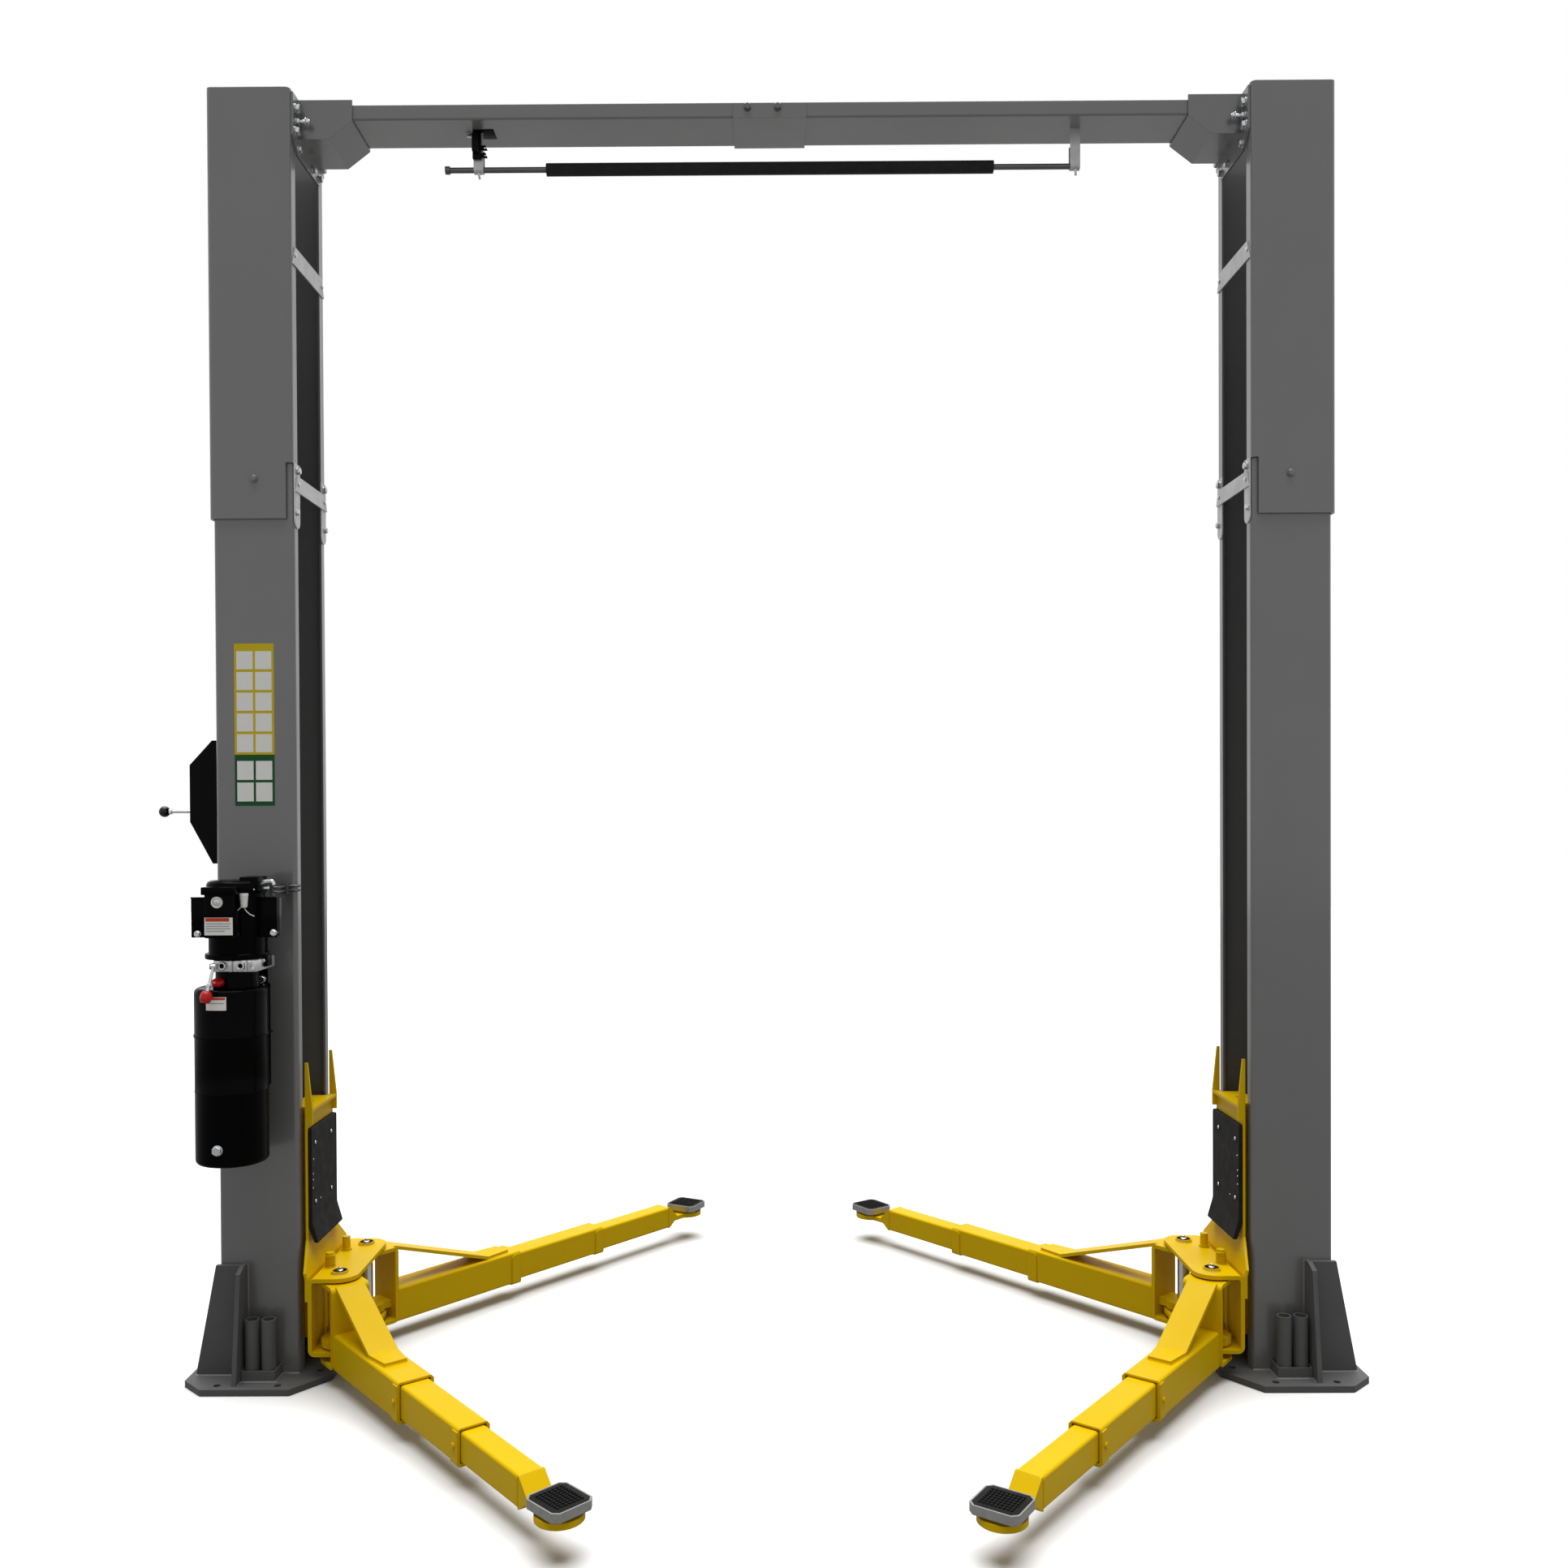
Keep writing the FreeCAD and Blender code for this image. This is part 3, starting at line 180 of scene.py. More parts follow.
def smoothRun(points, steps=8):      # a curve drawn evenly through a few points
    spots = []
    padded = [points[0]] + list(points) + [points[-1]]
    for a, b, c, d in zip(padded, padded[1:], padded[2:], padded[3:]):
        a, b, c, d = Vector(a), Vector(b), Vector(c), Vector(d)
        for i in range(steps):
            t = i / steps
            spots.append(0.5 * (2 * b + (c - a) * t + (2 * a - 5 * b + 4 * c - d) * t * t
                                + (3 * b - a - 3 * c + d) * t ** 3))
    return spots + [Vector(points[-1])]


def copyTo(model, spots):      # one copy of a model for each (place, direction), joined
    copies = []
    for place, direction in spots:
        copy = model.copy()
        copy.data = model.data.copy()
        bpy.context.scene.collection.objects.link(copy)
        copy.data.transform(facing(place, direction))
        copies.append(copy)
    return join(copies)


def join(pieces):
    onlySelect(*pieces)
    if len(pieces) > 1:
        bpy.ops.object.join()
    return bpy.context.object


def moved(piece, matrix):
    piece.data.transform(matrix)
    piece.data.update()
    return piece


def facing(place, direction):      # stands a piece that is drawn along Z at a place, along a direction
    return Matrix.Translation(place) @ Vector(direction).to_track_quat("Z", "Y").to_matrix().to_4x4()


def dress(piece, name, body, finish, smooth=38):
    piece.name = piece.data.name = name
    piece.data.materials.clear()
    piece.data.materials.append(finishes[finish])
    onlySelect(piece)
    bpy.ops.object.shade_smooth_by_angle(angle=math.radians(smooth))
    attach(piece, body)
    return piece


# finishes

def linear(hexColor):
    parts = [int(hexColor[i:i + 2], 16) / 255 for i in (1, 3, 5)]
    return (*[c / 12.92 if c <= 0.04045 else ((c + 0.055) / 1.055) ** 2.4 for c in parts], 1)


def addNode(tree, kind, inputs=None, **settings):
    node = tree.nodes.new(kind)
    for name, value in settings.items():
        setattr(node, name, value)
    for socket, value in (inputs or {}).items():
        if isinstance(value, bpy.types.NodeSocket):
            tree.links.new(value, node.inputs[socket])
        else:
            node.inputs[socket].default_value = value
    return node


bumpStrength = 0.3


def makeFinish(name, look):
    material = bpy.data.materials.new(name)
    material.use_nodes = True
    tree = material.node_tree
    tree.nodes.clear()
    place = addNode(tree, "ShaderNodeTexCoord").outputs["Object"]
    if "stretch" in look:      # drawn metal: the grain runs along one direction
        mapping = addNode(tree, "ShaderNodeMapping", {"Vector": place, "Scale": look["stretch"]})
        place = mapping.outputs["Vector"]
    patches = addNode(tree, "ShaderNodeTexNoise",
                      {"Vector": place, "Scale": 1000 / look["patchMm"], "Detail": 4.0, "Roughness": 0.6})
    color = addNode(tree, "ShaderNodeMix", {"Factor": patches.outputs["Fac"], "A": linear(look["color"]),
                                            "B": linear(look["shade"])}, data_type="RGBA")
    grain = addNode(tree, "ShaderNodeTexNoise",
                    {"Vector": place, "Scale": 1000 / look["grainMm"], "Detail": 3.0, "Roughness": 0.55})
    rough = addNode(tree, "ShaderNodeMapRange",
                    {"Value": patches.outputs["Fac"], "From Min": 0.3, "From Max": 0.7,
                     "To Min": look["rough"][0], "To Max": look["rough"][1]})
    bump = addNode(tree, "ShaderNodeBump", {"Height": grain.outputs["Fac"], "Strength": bumpStrength,
                                            "Distance": look["depthMm"] / 1000})
    if "edgeMm" in look:      # broken edges, too small to model, that catch the light
        edge = addNode(tree, "ShaderNodeBevel", {"Radius": look["edgeMm"] / 1000}, samples=4)
        tree.links.new(edge.outputs["Normal"], bump.inputs["Normal"])
    shader = addNode(tree, "ShaderNodeBsdfPrincipled", {
        "Base Color": color.outputs["Result"], "Roughness": rough.outputs["Result"],
        "Metallic": look.get("metal", 0.0), "Normal": bump.outputs["Normal"],
        "Specular IOR Level": look.get("gloss", 0.5),
        "Coat Weight": look.get("coat", 0.0), "Coat Roughness": look.get("coatRough", 0.1)})
    addNode(tree, "ShaderNodeOutputMaterial", {"Surface": shader.outputs["BSDF"]})
    return material


looks = {
    # powder coat on the columns, satin with a clear sheen: orange peel 2 mm across, faint cloudiness
    "greyPowderCoat": dict(color="#6d6d6d", shade="#656565", rough=(0.3, 0.4), patchMm=260, grainMm=2.2,
                           depthMm=0.1, coat=0.55, coatRough=0.12, edgeMm=2.5),
    # the same paint on the foot plates, dulled where it is walked on, and darker in colour as painted shade
    "dulledShadedPowderCoat": dict(color="#606060", shade="#525252", rough=(0.5, 0.62), patchMm=120, grainMm=2.5,
                             depthMm=0.15, gloss=0.25, edgeMm=2.5),
    # the same paint over weld beads, glossier where it pools, and lighter in colour as a painted highlight for the
    # glint of the beads
    "beadHighlightPowderCoat": dict(color="#8d8d8d", shade="#5a5a5a", rough=(0.18, 0.3), patchMm=9, grainMm=2.2,
                           depthMm=0.15, coat=0.6, coatRough=0.08),
    # gloss powder coat: deep yellow, slightly warmer in patches
    "yellowPowderCoat": dict(color="#deb900", shade="#d6ae00", rough=(0.32, 0.42), patchMm=180, grainMm=2.5,
                             depthMm=0.1, gloss=0.07, edgeMm=2.0),
    # zinc plated strip: pale and satin with a fine rolled grain
    "zincStrip": dict(color="#c4c4c4", shade="#a8a8a8", rough=(0.35, 0.5), patchMm=40, grainMm=1.2,
                      depthMm=0.05, metal=0.5, edgeMm=1.0),
    # bare drawn bar, oiled: dull grey
    "drawnBar": dict(color="#6a6a6a", shade="#474747", rough=(0.3, 0.45), patchMm=30, grainMm=1.5,
                     depthMm=0.05, metal=0.8, stretch=(0.08, 1, 1)),
    # zinc plated fasteners and rods: bright with a soft sheen
    "zincPlate": dict(color="#d0d2d4", shade="#a9abad", rough=(0.2, 0.36), patchMm=12, grainMm=0.8,
                      depthMm=0.04, metal=0.95),
    # hard chrome on the hinge pins: nearly a mirror
    "hardChrome": dict(color="#d6d8da", shade="#bfc1c3", rough=(0.08, 0.16), patchMm=60, grainMm=1.0,
                       depthMm=0.01, metal=1.0),
    # black enamel on pressed steel: wet gloss, a little orange peel
    "blackEnamel": dict(color="#060606", shade="#030303", rough=(0.12, 0.22), patchMm=80, grainMm=4,
                        depthMm=0.06, gloss=0.03, edgeMm=1.2),
    # satin black paint on folded plate
    "blackPaint": dict(color="#0d0d0d", shade="#090909", rough=(0.4, 0.52), patchMm=60, grainMm=1.5,
                       depthMm=0.08, gloss=0.05, edgeMm=1.5),
    # die cast aluminium: pale, pebbled skin
    "castAluminium": dict(color="#d2d2d2", shade="#9c9c9c", rough=(0.28, 0.46), patchMm=10, grainMm=1.2,
                          depthMm=0.15, metal=0.9),
    # zinc plated steel plate of the pads: grey, scuffed in small patches
    "plateSteel": dict(color="#a8a8a6", shade="#7d7d7a", rough=(0.32, 0.5), patchMm=25, grainMm=1.0,
                       depthMm=0.06, metal=0.7, edgeMm=1.0),
    # moulded rubber: dull black with a dry bloom
    "bumperRubber": dict(color="#202020", shade="#181818", rough=(0.6, 0.75), patchMm=45, grainMm=1.0,
                         depthMm=0.1, gloss=0.1, edgeMm=3.0),
    "padRubber": dict(color="#121212", shade="#0c0c0c", rough=(0.5, 0.68), patchMm=20, grainMm=0.8,
                      depthMm=0.1, gloss=0.1),
    # closed cell foam: soft, fine cells drawn at 2 mm so that they show
    "cellFoam": dict(color="#1c1c1c", shade="#151515", rough=(0.75, 0.88), patchMm=30, grainMm=2.0,
                     depthMm=0.4, gloss=0.3),
    # moulded phenolic ball and red plastic caps
    "blackPhenolic": dict(color="#080808", shade="#050505", rough=(0.12, 0.2), patchMm=20, grainMm=2,
                          depthMm=0.02, gloss=0.3),
    "redPlastic": dict(color="#c8130f", shade="#ae0c09", rough=(0.22, 0.34), patchMm=12, grainMm=1.5,
                       depthMm=0.05, gloss=0.3),
    # printed vinyl sheet: flat, faintly uneven where it lies on the paint
    "yellowVinyl": dict(color="#d9c21e", shade="#cdb515", rough=(0.4, 0.5), patchMm=70, grainMm=6,
                        depthMm=0.1, gloss=0.2),
    "greenVinyl": dict(color="#125228", shade="#0e4521", rough=(0.4, 0.5), patchMm=70, grainMm=6,
                       depthMm=0.1, gloss=0.2),
    "whiteVinyl": dict(color="#f2f2ee", shade="#e8e8e4", rough=(0.4, 0.5), patchMm=50, grainMm=6,
                       depthMm=0.1),
    "orangeVinyl": dict(color="#cf4a22", shade="#c2401b", rough=(0.4, 0.5), patchMm=50, grainMm=6,
                        depthMm=0.1, gloss=0.2),
    "greyInk": dict(color="#a2a2a2", shade="#989898", rough=(0.4, 0.5), patchMm=50, grainMm=6,
                    depthMm=0.1),
    # smooth sealed concrete, pale
    "paleFloor": dict(color="#f5f5f5", shade="#f3f3f3", rough=(0.7, 0.8), patchMm=900, grainMm=6,
                      depthMm=0.05, gloss=0.0),
}
finishes = {name: makeFinish(name, look) for name, look in looks.items()}

slotFinishes = {
    "column_grey": "greyPowderCoat", "yellow_paint": "yellowPowderCoat", "strap_steel": "zincStrip",
    "dark_steel": "drawnBar", "black_enamel": "blackEnamel", "cast_aluminium": "castAluminium",
    "bright_steel": "zincPlate", "pin_chrome": "hardChrome", "pad_steel": "plateSteel",
    "bumper_rubber": "bumperRubber", "pad_rubber": "padRubber", "foam": "cellFoam",
}
nodeFinishes = {
    "lock_cover": "blackPaint", "shutoff_bar": "drawnBar",
    # the foot plates and adapters take the darker paint: painted shade
    "left_base_plate": "dulledShadedPowderCoat", "right_base_plate": "dulledShadedPowderCoat",
    "left_adapters": "dulledShadedPowderCoat", "right_adapters": "dulledShadedPowderCoat",
}
for part in frame["record"]["subparts"]:
    node = frame["nodes"][part["node"]]
    node.data.materials.clear()
    finish = nodeFinishes.get(part["node"], slotFinishes[part["material_slot"]])
    node.data.materials.append(finishes[finish])
print("finishes made:", len(finishes))


# fasteners

bolts = {      # across flats, head height, washer radius and thickness
    "m16": dict(flats=0.024, head=0.010, washer=0.015, wall=0.003),
    "m12": dict(flats=0.019, head=0.0075, washer=0.012, wall=0.0025),
    "m10": dict(flats=0.016, head=0.0065, washer=0.010, wall=0.002),
}


def modelBolt(size):      # a chamfered hexagon head on a plain washer, standing on the origin
    top = size["wall"] + size["head"]
    washer = addBar((0, 0, 0), (0, 0, size["wall"]), size["washer"], edge=0.0006, sides=24)
    head = addBar((0, 0, size["wall"]), (0, 0, top), size["flats"] / math.sqrt(3), sides=6)
    head = softenEdges(head, 0.0012, sharp=80, segments=1)
    point = addBar((0, 0, top - 0.0005), (0, 0, top + 0.0006), size["flats"] * 0.36, sides=20)
    return join([washer, head, point])


def modelButton(radius, height):      # a low domed head with a hexagon socket
    head = addBar((0, 0, 0), (0, 0, height), radius, edge=height * 0.55, sides=24)
    socket = addBar((0, 0, height * 0.9), (0, 0, height * 1.04), radius * 0.42, sides=6)
    return join([head, socket])


def modelCollar():      # the sunk rubber rim round a bumper's screw
    profile = [(0.006, 0), (0.0115, 0), (0.0115, 0.0012), (0.0095, 0.0022), (0.0075, 0.0012), (0.006, 0)]
    return addTurned(profile, steps=28)


models = {name: modelBolt(size) for name, size in bolts.items()}
models["button"] = modelButton(0.006, 0.0035)
models["rivet"] = modelButton(0.0065, 0.0035)
models["pip"] = modelButton(0.0026, 0.0016)
models["collar"] = modelCollar()

overhead = dict(plate=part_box("right_beam_bracket")[1].x - 0.007, stud=(0.118, 3.775), studOut=0.042,
                studRadius=0.006, nutBack=0.013)
splice = dict(face=openFace - 0.004, middle=0.1235, aside=0.1335, upper=columnHigh.z - 0.017,
              lower=sleeveLow.z + 0.022)
ties = dict(face=openFace - 0.004, proud=0.004, upper=(0.126, 0.488), lower=(0.122, 0.057))
sideBolts = {      # model: (u, y, z) spots on the column's open side, heads towards the bay
    "m16": [(overhead["plate"], y * s, z) for s in (-1, 1) for y, z in ((0.124, 3.744), (0.122, 3.812))],
    # these stand clear of the carriage's ears
    "m10": [(splice["face"], splice["aside"] * s, splice["lower"]) for s in (-1, 1)],
    "m12": [(splice["face"], splice["middle"] * s, splice["upper"]) for s in (-1, 1)]
    + [(overhead["plate"], y, 3.701) for y in (-0.098, 0.035, 0.098)]
    + [(overhead["plate"], overhead["stud"][0] * s, overhead["stud"][1]) for s in (-1, 1)],
    "rivet": [(ties["face"], ties["upper"][0] * s, sleeveHigh.z - ties["upper"][1]) for s in (-1, 1)]
    + [(ties["face"] - ties["proud"], ties["lower"][0] * s, columnHigh.z - ties["lower"][1])
       for s in (-1, 1)],
}
bumperScrews = dict(face=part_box("right_bumper")[0].x + 0.018, spots=((-0.090, 0.700), (-0.090, 0.521),
                    (0.064, 0.700), (0.064, 0.521)), pips=((-0.106, 0.652), (-0.110, 0.608), (-0.109, 0.590),
                    (-0.110, 0.566), (-0.040, 0.517)))
extensionBolt = dict(u=1.543, z=2.698)
sleeveBolts = dict(x=(-0.067, 0.024), z=3.821)
for side, sign in sides:
    for model, spots in sideBolts.items():
        group = copyTo(models[model], [((sign * u, y, z), (-sign, 0, 0)) for u, y, z in spots])
        dress(group, side + "Column_" + model, "root", "zincPlate")
    face, (y, z), reach = overhead["plate"], overhead["stud"], overhead["studOut"]
    studs = []
    for s in (-1, 1):
        studs.append(addBar((sign * face, y * s, z), (sign * (face - reach), y * s, z),
                            overhead["studRadius"], edge=0.001, sides=20))
        nut = (sign * (face - reach + overhead["nutBack"]), y * s, z)
        studs.append(copyTo(models["m12"], [(nut, (-sign, 0, 0))]))
    dress(join(studs), side + "SaddleStuds", "root", "zincPlate")
    spots = [((sign * extensionBolt["u"], sleeveLow.y * s, extensionBolt["z"]), (0, -s, 0)) for s in (1, -1)]
    dress(copyTo(models["m12"], spots), side + "ExtensionBolts", "root", "greyPowderCoat")
    face = bumperScrews["face"]
    spots = [((sign * face, y, z), (-sign, 0, 0)) for y, z in bumperScrews["spots"]]
    dress(copyTo(models["collar"], spots), side + "BumperCollars", side + "_carriage", "padRubber")
    dress(copyTo(models["button"], spots), side + "BumperScrews", side + "_carriage", "zincPlate")
    spots = [((sign * face, y, z), (-sign, 0, 0)) for y, z in bumperScrews["pips"]]
    dress(copyTo(models["pip"], spots), side + "BumperPips", side + "_carriage", "zincPlate")
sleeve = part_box("beam_sleeve")
spots = [((x, sleeve[0].y, sleeveBolts["z"]), (0, -1, 0)) for x in sleeveBolts["x"]]
spots += [((x, sleeve[1].y, sleeveBolts["z"]), (0, 1, 0)) for x in sleeveBolts["x"]]
dress(copyTo(models["m12"], spots), "beamSleeveBolts", "root", "drawnBar")
print("fasteners placed")


# welds, drawn on the right side and mirrored for the left

beadRadius = dict(frame=0.0035, arm=0.003, nose=0.0022)
welds = {
    "both": [      # the foot's fin and wing at the front and the back, the column's foot, the saddle
        [(1.583, -0.248, footTop), (1.583, -0.150, footTop), (1.583, -0.150, 0.349)],
        [(1.601, -0.248, footTop), (1.601, -0.164, footTop), (1.601, -0.164, 0.347)],
        [(1.601, -0.165, footTop), (1.737, -0.165, footTop)],
        [(1.430, -0.150, footTop), (1.481, -0.150, footTop)],
        [(1.4205, -0.099, 3.735), (1.4205, -0.099, 3.847)],
    ],
    "front": [      # the adapters' rack
        [(1.481, -0.150, footTop), (1.481, -0.216, footTop), (1.583, -0.216, footTop)],
    ],
    "beam": [      # short runs where the saddle carries the overhead channel
        [(1.262, -0.094, 3.834), (1.284, -0.094, 3.834)], [(1.330, -0.094, 3.835), (1.350, -0.094, 3.835)],
        [(1.388, -0.094, 3.835), (1.408, -0.094, 3.835)],
    ],
    "outer": [[(1.671, -0.142, footTop), (1.671, 0.142, footTop)]],
}
for side, sign in sides:
    lines = welds["both"] + welds["front"] + welds["beam"] + welds["outer"]
    lines += [[(u, -y, z) for u, y, z in line] for line in welds["both"] + welds["beam"]]
    beads = [addBead([(sign * u, y, z) for u, y, z in line], beadRadius["frame"]) for line in lines]
    # the beads' paint is lighter than the columns': a painted highlight
    dress(join(beads), side + "FrameWelds", "root", "beadHighlightPowderCoat")

arms = {      # how far along the arm its brace starts and ends, and the pad's turn in degrees
    "left_front": dict(brace=(0.310, 0.400), turn=-45.2),
    "left_rear": dict(brace=(0.450, 0.545), turn=-27.2),
    "right_front": dict(brace=(0.310, 0.400), turn=-33.6),
    "right_rear": dict(brace=(0.450, 0.545), turn=-54.3),
}
armSizes = dict(bracketReach=0.080, tubeHalf=0.051, tubeLow=0.055, tubeHigh=0.164, braceHalf=0.043,
                braceTipHalf=0.033, noseHalf=0.035, noseLow=0.067, noseHigh=0.147, noseBack=0.134)


def armMatrix(name):      # from a drawing along X with the hinge pin at the origin to the arm at rest
    x, y = joints[name + "_arm_swing"]["pos_m"][:2]
    along = Vector(joints[name + "_middle_tube_slide"]["axis"])
    return Matrix.Translation((x, y, 0)) @ Matrix.Rotation(math.atan2(along.y, along.x), 4, "Z")


for name, arm in arms.items():
    s, matrix = armSizes, armMatrix(name)
    root, half = s["bracketReach"], s["tubeHalf"]
    start, end = arm["brace"]
    lines = [[(root, -half, s["tubeHigh"] - 0.008), (root, -half, s["tubeLow"] + 0.010)],
             [(root, half, s["tubeHigh"] - 0.008), (root, half, s["tubeLow"] + 0.010)],
             [(end, -s["braceTipHalf"], s["tubeHigh"]), (end, s["braceTipHalf"], s["tubeHigh"])]]
    for edge in (-1, 1):
        lines.append([(start, edge * s["braceHalf"], s["tubeHigh"]),
                      (end, edge * s["braceTipHalf"], s["tubeHigh"])])
    beads = join([addBead(line, beadRadius["arm"]) for line in lines])
    dress(moved(beads, matrix), name + "_armWelds", name + "_arm", "yellowPowderCoat")
    pad = Vector(joints[name + "_pad_swivel"]["pos_m"])
    reach = (matrix.inverted() @ pad).x - s["noseBack"]
    lines = [[(reach, edge * s["noseHalf"], z) for z in (s["noseLow"] + 0.006, s["noseHigh"] - 0.006)]
             for edge in (-1, 1)]
    beads = join([addBead(line, beadRadius["nose"]) for line in lines])
    dress(moved(beads, matrix), name + "_noseWelds", name + "_inner_tube", "yellowPowderCoat")
print("welds laid")


# hinge pins' heads and the restraints' grips

pinHead = dict(rim=0.0255, wall=0.004, cup=0.0195, seat=0.0215, height=0.322)
nippleProfile = [(0, 0), (0.0095, 0), (0.0095, 0.0045), (0.0075, 0.0065), (0.0045, 0.007), (0.0042, 0.011),
                 (0.0048, 0.0125), (0.003, 0.0145), (0, 0.0145)]
for side, sign in sides:
    rims, cups, nipples = [], [], []
    for end in ("front", "rear"):
        x, y = joints["%s_%s_arm_swing" % (side, end)]["pos_m"][:2]
        seat = (x, y, pinHead["height"])
        rim = addTurned(ringProfile(pinHead["seat"], pinHead["rim"], 0, pinHead["wall"]), steps=48)
        cup = addTurned([(0, 0), (pinHead["seat"], 0), (pinHead["seat"], 0.0028), (pinHead["cup"], 0.0028),
                         (pinHead["cup"] - 0.003, 0.0012), (0, 0.0012)], steps=48)
        nipple = addTurned(nippleProfile, steps=32)
        for group, piece in ((rims, rim), (cups, cup), (nipples, nipple)):
            group.append(moved(piece, Matrix.Translation(seat)))
    dress(join(rims), side + "PinRims", side + "_carriage", "yellowPowderCoat")
    dress(join(cups), side + "PinCups", side + "_carriage", "blackPaint")
    dress(join(nipples), side + "PinNipples", side + "_carriage", "zincPlate")

spring = dict(radius=0.0135, wire=0.0021, low=0.3250, high=0.3560, turns=7)


def modelSpring():      # the return spring wound round the front restraint's grip
    points = []
    steps = spring["turns"] * 16
    for i in range(steps + 1):
        angle = 2 * math.pi * i / 16
        height = spring["low"] + (spring["high"] - spring["low"]) * i / steps
        points.append((spring["radius"] * math.cos(angle), spring["radius"] * math.sin(angle), height))
    return addWire(points, spring["wire"], "spring")


springModel = modelSpring()
for side, sign in sides:
    body = side + "_front_restraint"
    low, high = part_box(body)
    coil = copyTo(springModel, [(((low.x + high.x) / 2, (low.y + high.y) / 2, 0), (0, 0, 1))])
    dress(coil, body + "Spring", body, "yellowPowderCoat")


# lifting pads

pad = dict(half=(0.0572, 0.0532), corner=0.0118, low=0.1167, top=0.1352, crown=0.0030, border=0.013,
           ribs=(9, 7), fill=0.66, taper=0.0006)


def modelPad():      # a moulded block with a plain border and a field of small studs
    hx, hy = pad["half"]
    block = addBlock((-hx, -hy, pad["low"]), (hx, hy, pad["top"]))
    bevelWhere(block, lambda edge: abs(edge.verts[0].co.z - edge.verts[1].co.z) > 0.01, pad["corner"], 1)
    softenEdges(block, 0.0016, sharp=80)
    studs = []
    nx, ny = pad["ribs"]
    stepX, stepY = 2 * (hx - pad["border"]) / nx, 2 * (hy - pad["border"]) / ny
    for i in range(nx):
        for j in range(ny):
            x, y = -hx + pad["border"] + stepX * (i + 0.5), -hy + pad["border"] + stepY * (j + 0.5)
            w, d = stepX * pad["fill"] / 2, stepY * pad["fill"] / 2
            stud = addBlock((x - w, y - d, pad["top"] - 0.001), (x + w, y + d, pad["top"] + pad["crown"]))
            for vertex in stud.data.vertices:      # each stud tapers towards its top
                if vertex.co.z > pad["top"]:
                    vertex.co.x += pad["taper"] if vertex.co.x < x else -pad["taper"]
                    vertex.co.y += pad["taper"] if vertex.co.y < y else -pad["taper"]
            studs.append(stud)
    return join([block] + studs)


padModel = modelPad()
for name, arm in arms.items():
    x, y = joints[name + "_pad_swivel"]["pos_m"][:2]
    rubber = copyTo(padModel, [((0, 0, 0), (0, 0, 1))])
    moved(rubber, Matrix.Translation((x, y, 0)) @ Matrix.Rotation(math.radians(arm["turn"]), 4, "Z"))
    dress(rubber, name + "_padRubber", name + "_pad", "padRubber")
    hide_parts(name + "_pad_rubber")
print("pads moulded")


# power unit: oil tank

tank = dict(axis=(-1.576, -0.280), radius=0.1015, low=0.692, high=1.200, bend=0.014, seam=1.062, swage=0.902,
            pipe=[(-1.4825, -0.238, 1.204), (-1.4825, -0.238, 0.912), (-1.4860, -0.240, 0.904)],
            pipeRadius=0.005, clip=((-1.492, -0.246, 1.060), (-1.474, -0.230, 1.066)), drain=(-1.580, 0.746),
            neck=((-1.590, -0.340, 1.194), (-1.588, -0.349, 1.214), 0.014),
            cap=((-1.588, -0.348, 1.213), (-1.5868, -0.3535, 1.2255), 0.0175))


def swell(radius, middle, half, rise):      # a rolled ring standing out from a can
    return [(radius, middle - half), (radius + rise * 0.85, middle - half / 2), (radius + rise, middle),
            (radius + rise * 0.85, middle + half / 2), (radius, middle + half)]


def addTank():      # a drawn can with rolled rims, a rolled seam and a shallow swage
    r, b, low, high = tank["radius"], tank["bend"], tank["low"], tank["high"]
    bends = [math.radians(d) for d in range(0, 91, 15)]
    profile = [(0, low + 0.004), (r - b - 0.006, low + 0.004), (r - b, low)]
    profile += [(r - b + b * math.sin(a), low + b - b * math.cos(a)) for a in bends[1:]]
    profile += swell(r, tank["swage"], 0.003, 0.0008) + swell(r, tank["seam"], 0.006, 0.0026)
    profile += [(r - b + b * math.cos(a), high - b + b * math.sin(a)) for a in bends]
    profile += [(r - b - 0.004, high - 0.0015), (r - b - 0.010, high - 0.003), (0, high - 0.003)]
    can = moved(addTurned(profile, steps=96), Matrix.Translation((*tank["axis"], 0)))
    pipe = addWire(tank["pipe"], tank["pipeRadius"], "pipe")
    clip = addBlock(*tank["clip"], 0.001)
    dress(join([can, pipe, clip]), "tankCan", "root", "blackEnamel")
    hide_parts("oil_tank")
    drain = copyTo(models["m16"], [((tank["drain"][0], tank["axis"][1] - r, tank["drain"][1]), (0, -1, 0))])
    dress(drain, "tankDrainPlug", "root", "zincPlate")
    neck = addBar(*tank["neck"], sides=28)
    dress(neck, "fillerNeck", "root", "blackEnamel")
    cap = addBar(*tank["cap"], edge=0.003, sides=32)
    dress(cap, "fillerCap", "root", "redPlastic")


addTank()

sheetWall = 0.0003
labels = {      # on the can, blank: ends along X and heights
    "tankLabel": dict(x=(-1.612, -1.553), z=(1.143, 1.181), lift=0.0004, finish="whiteVinyl"),
    "tankLabelStrip": dict(x=(-1.609, -1.556), z=(1.173, 1.1795), lift=0.0007, finish="orangeVinyl"),
    "tankLabelRules": dict(x=(-1.607, -1.560), z=(1.162, 1.1645), lift=0.0006, finish="greyInk"),
}


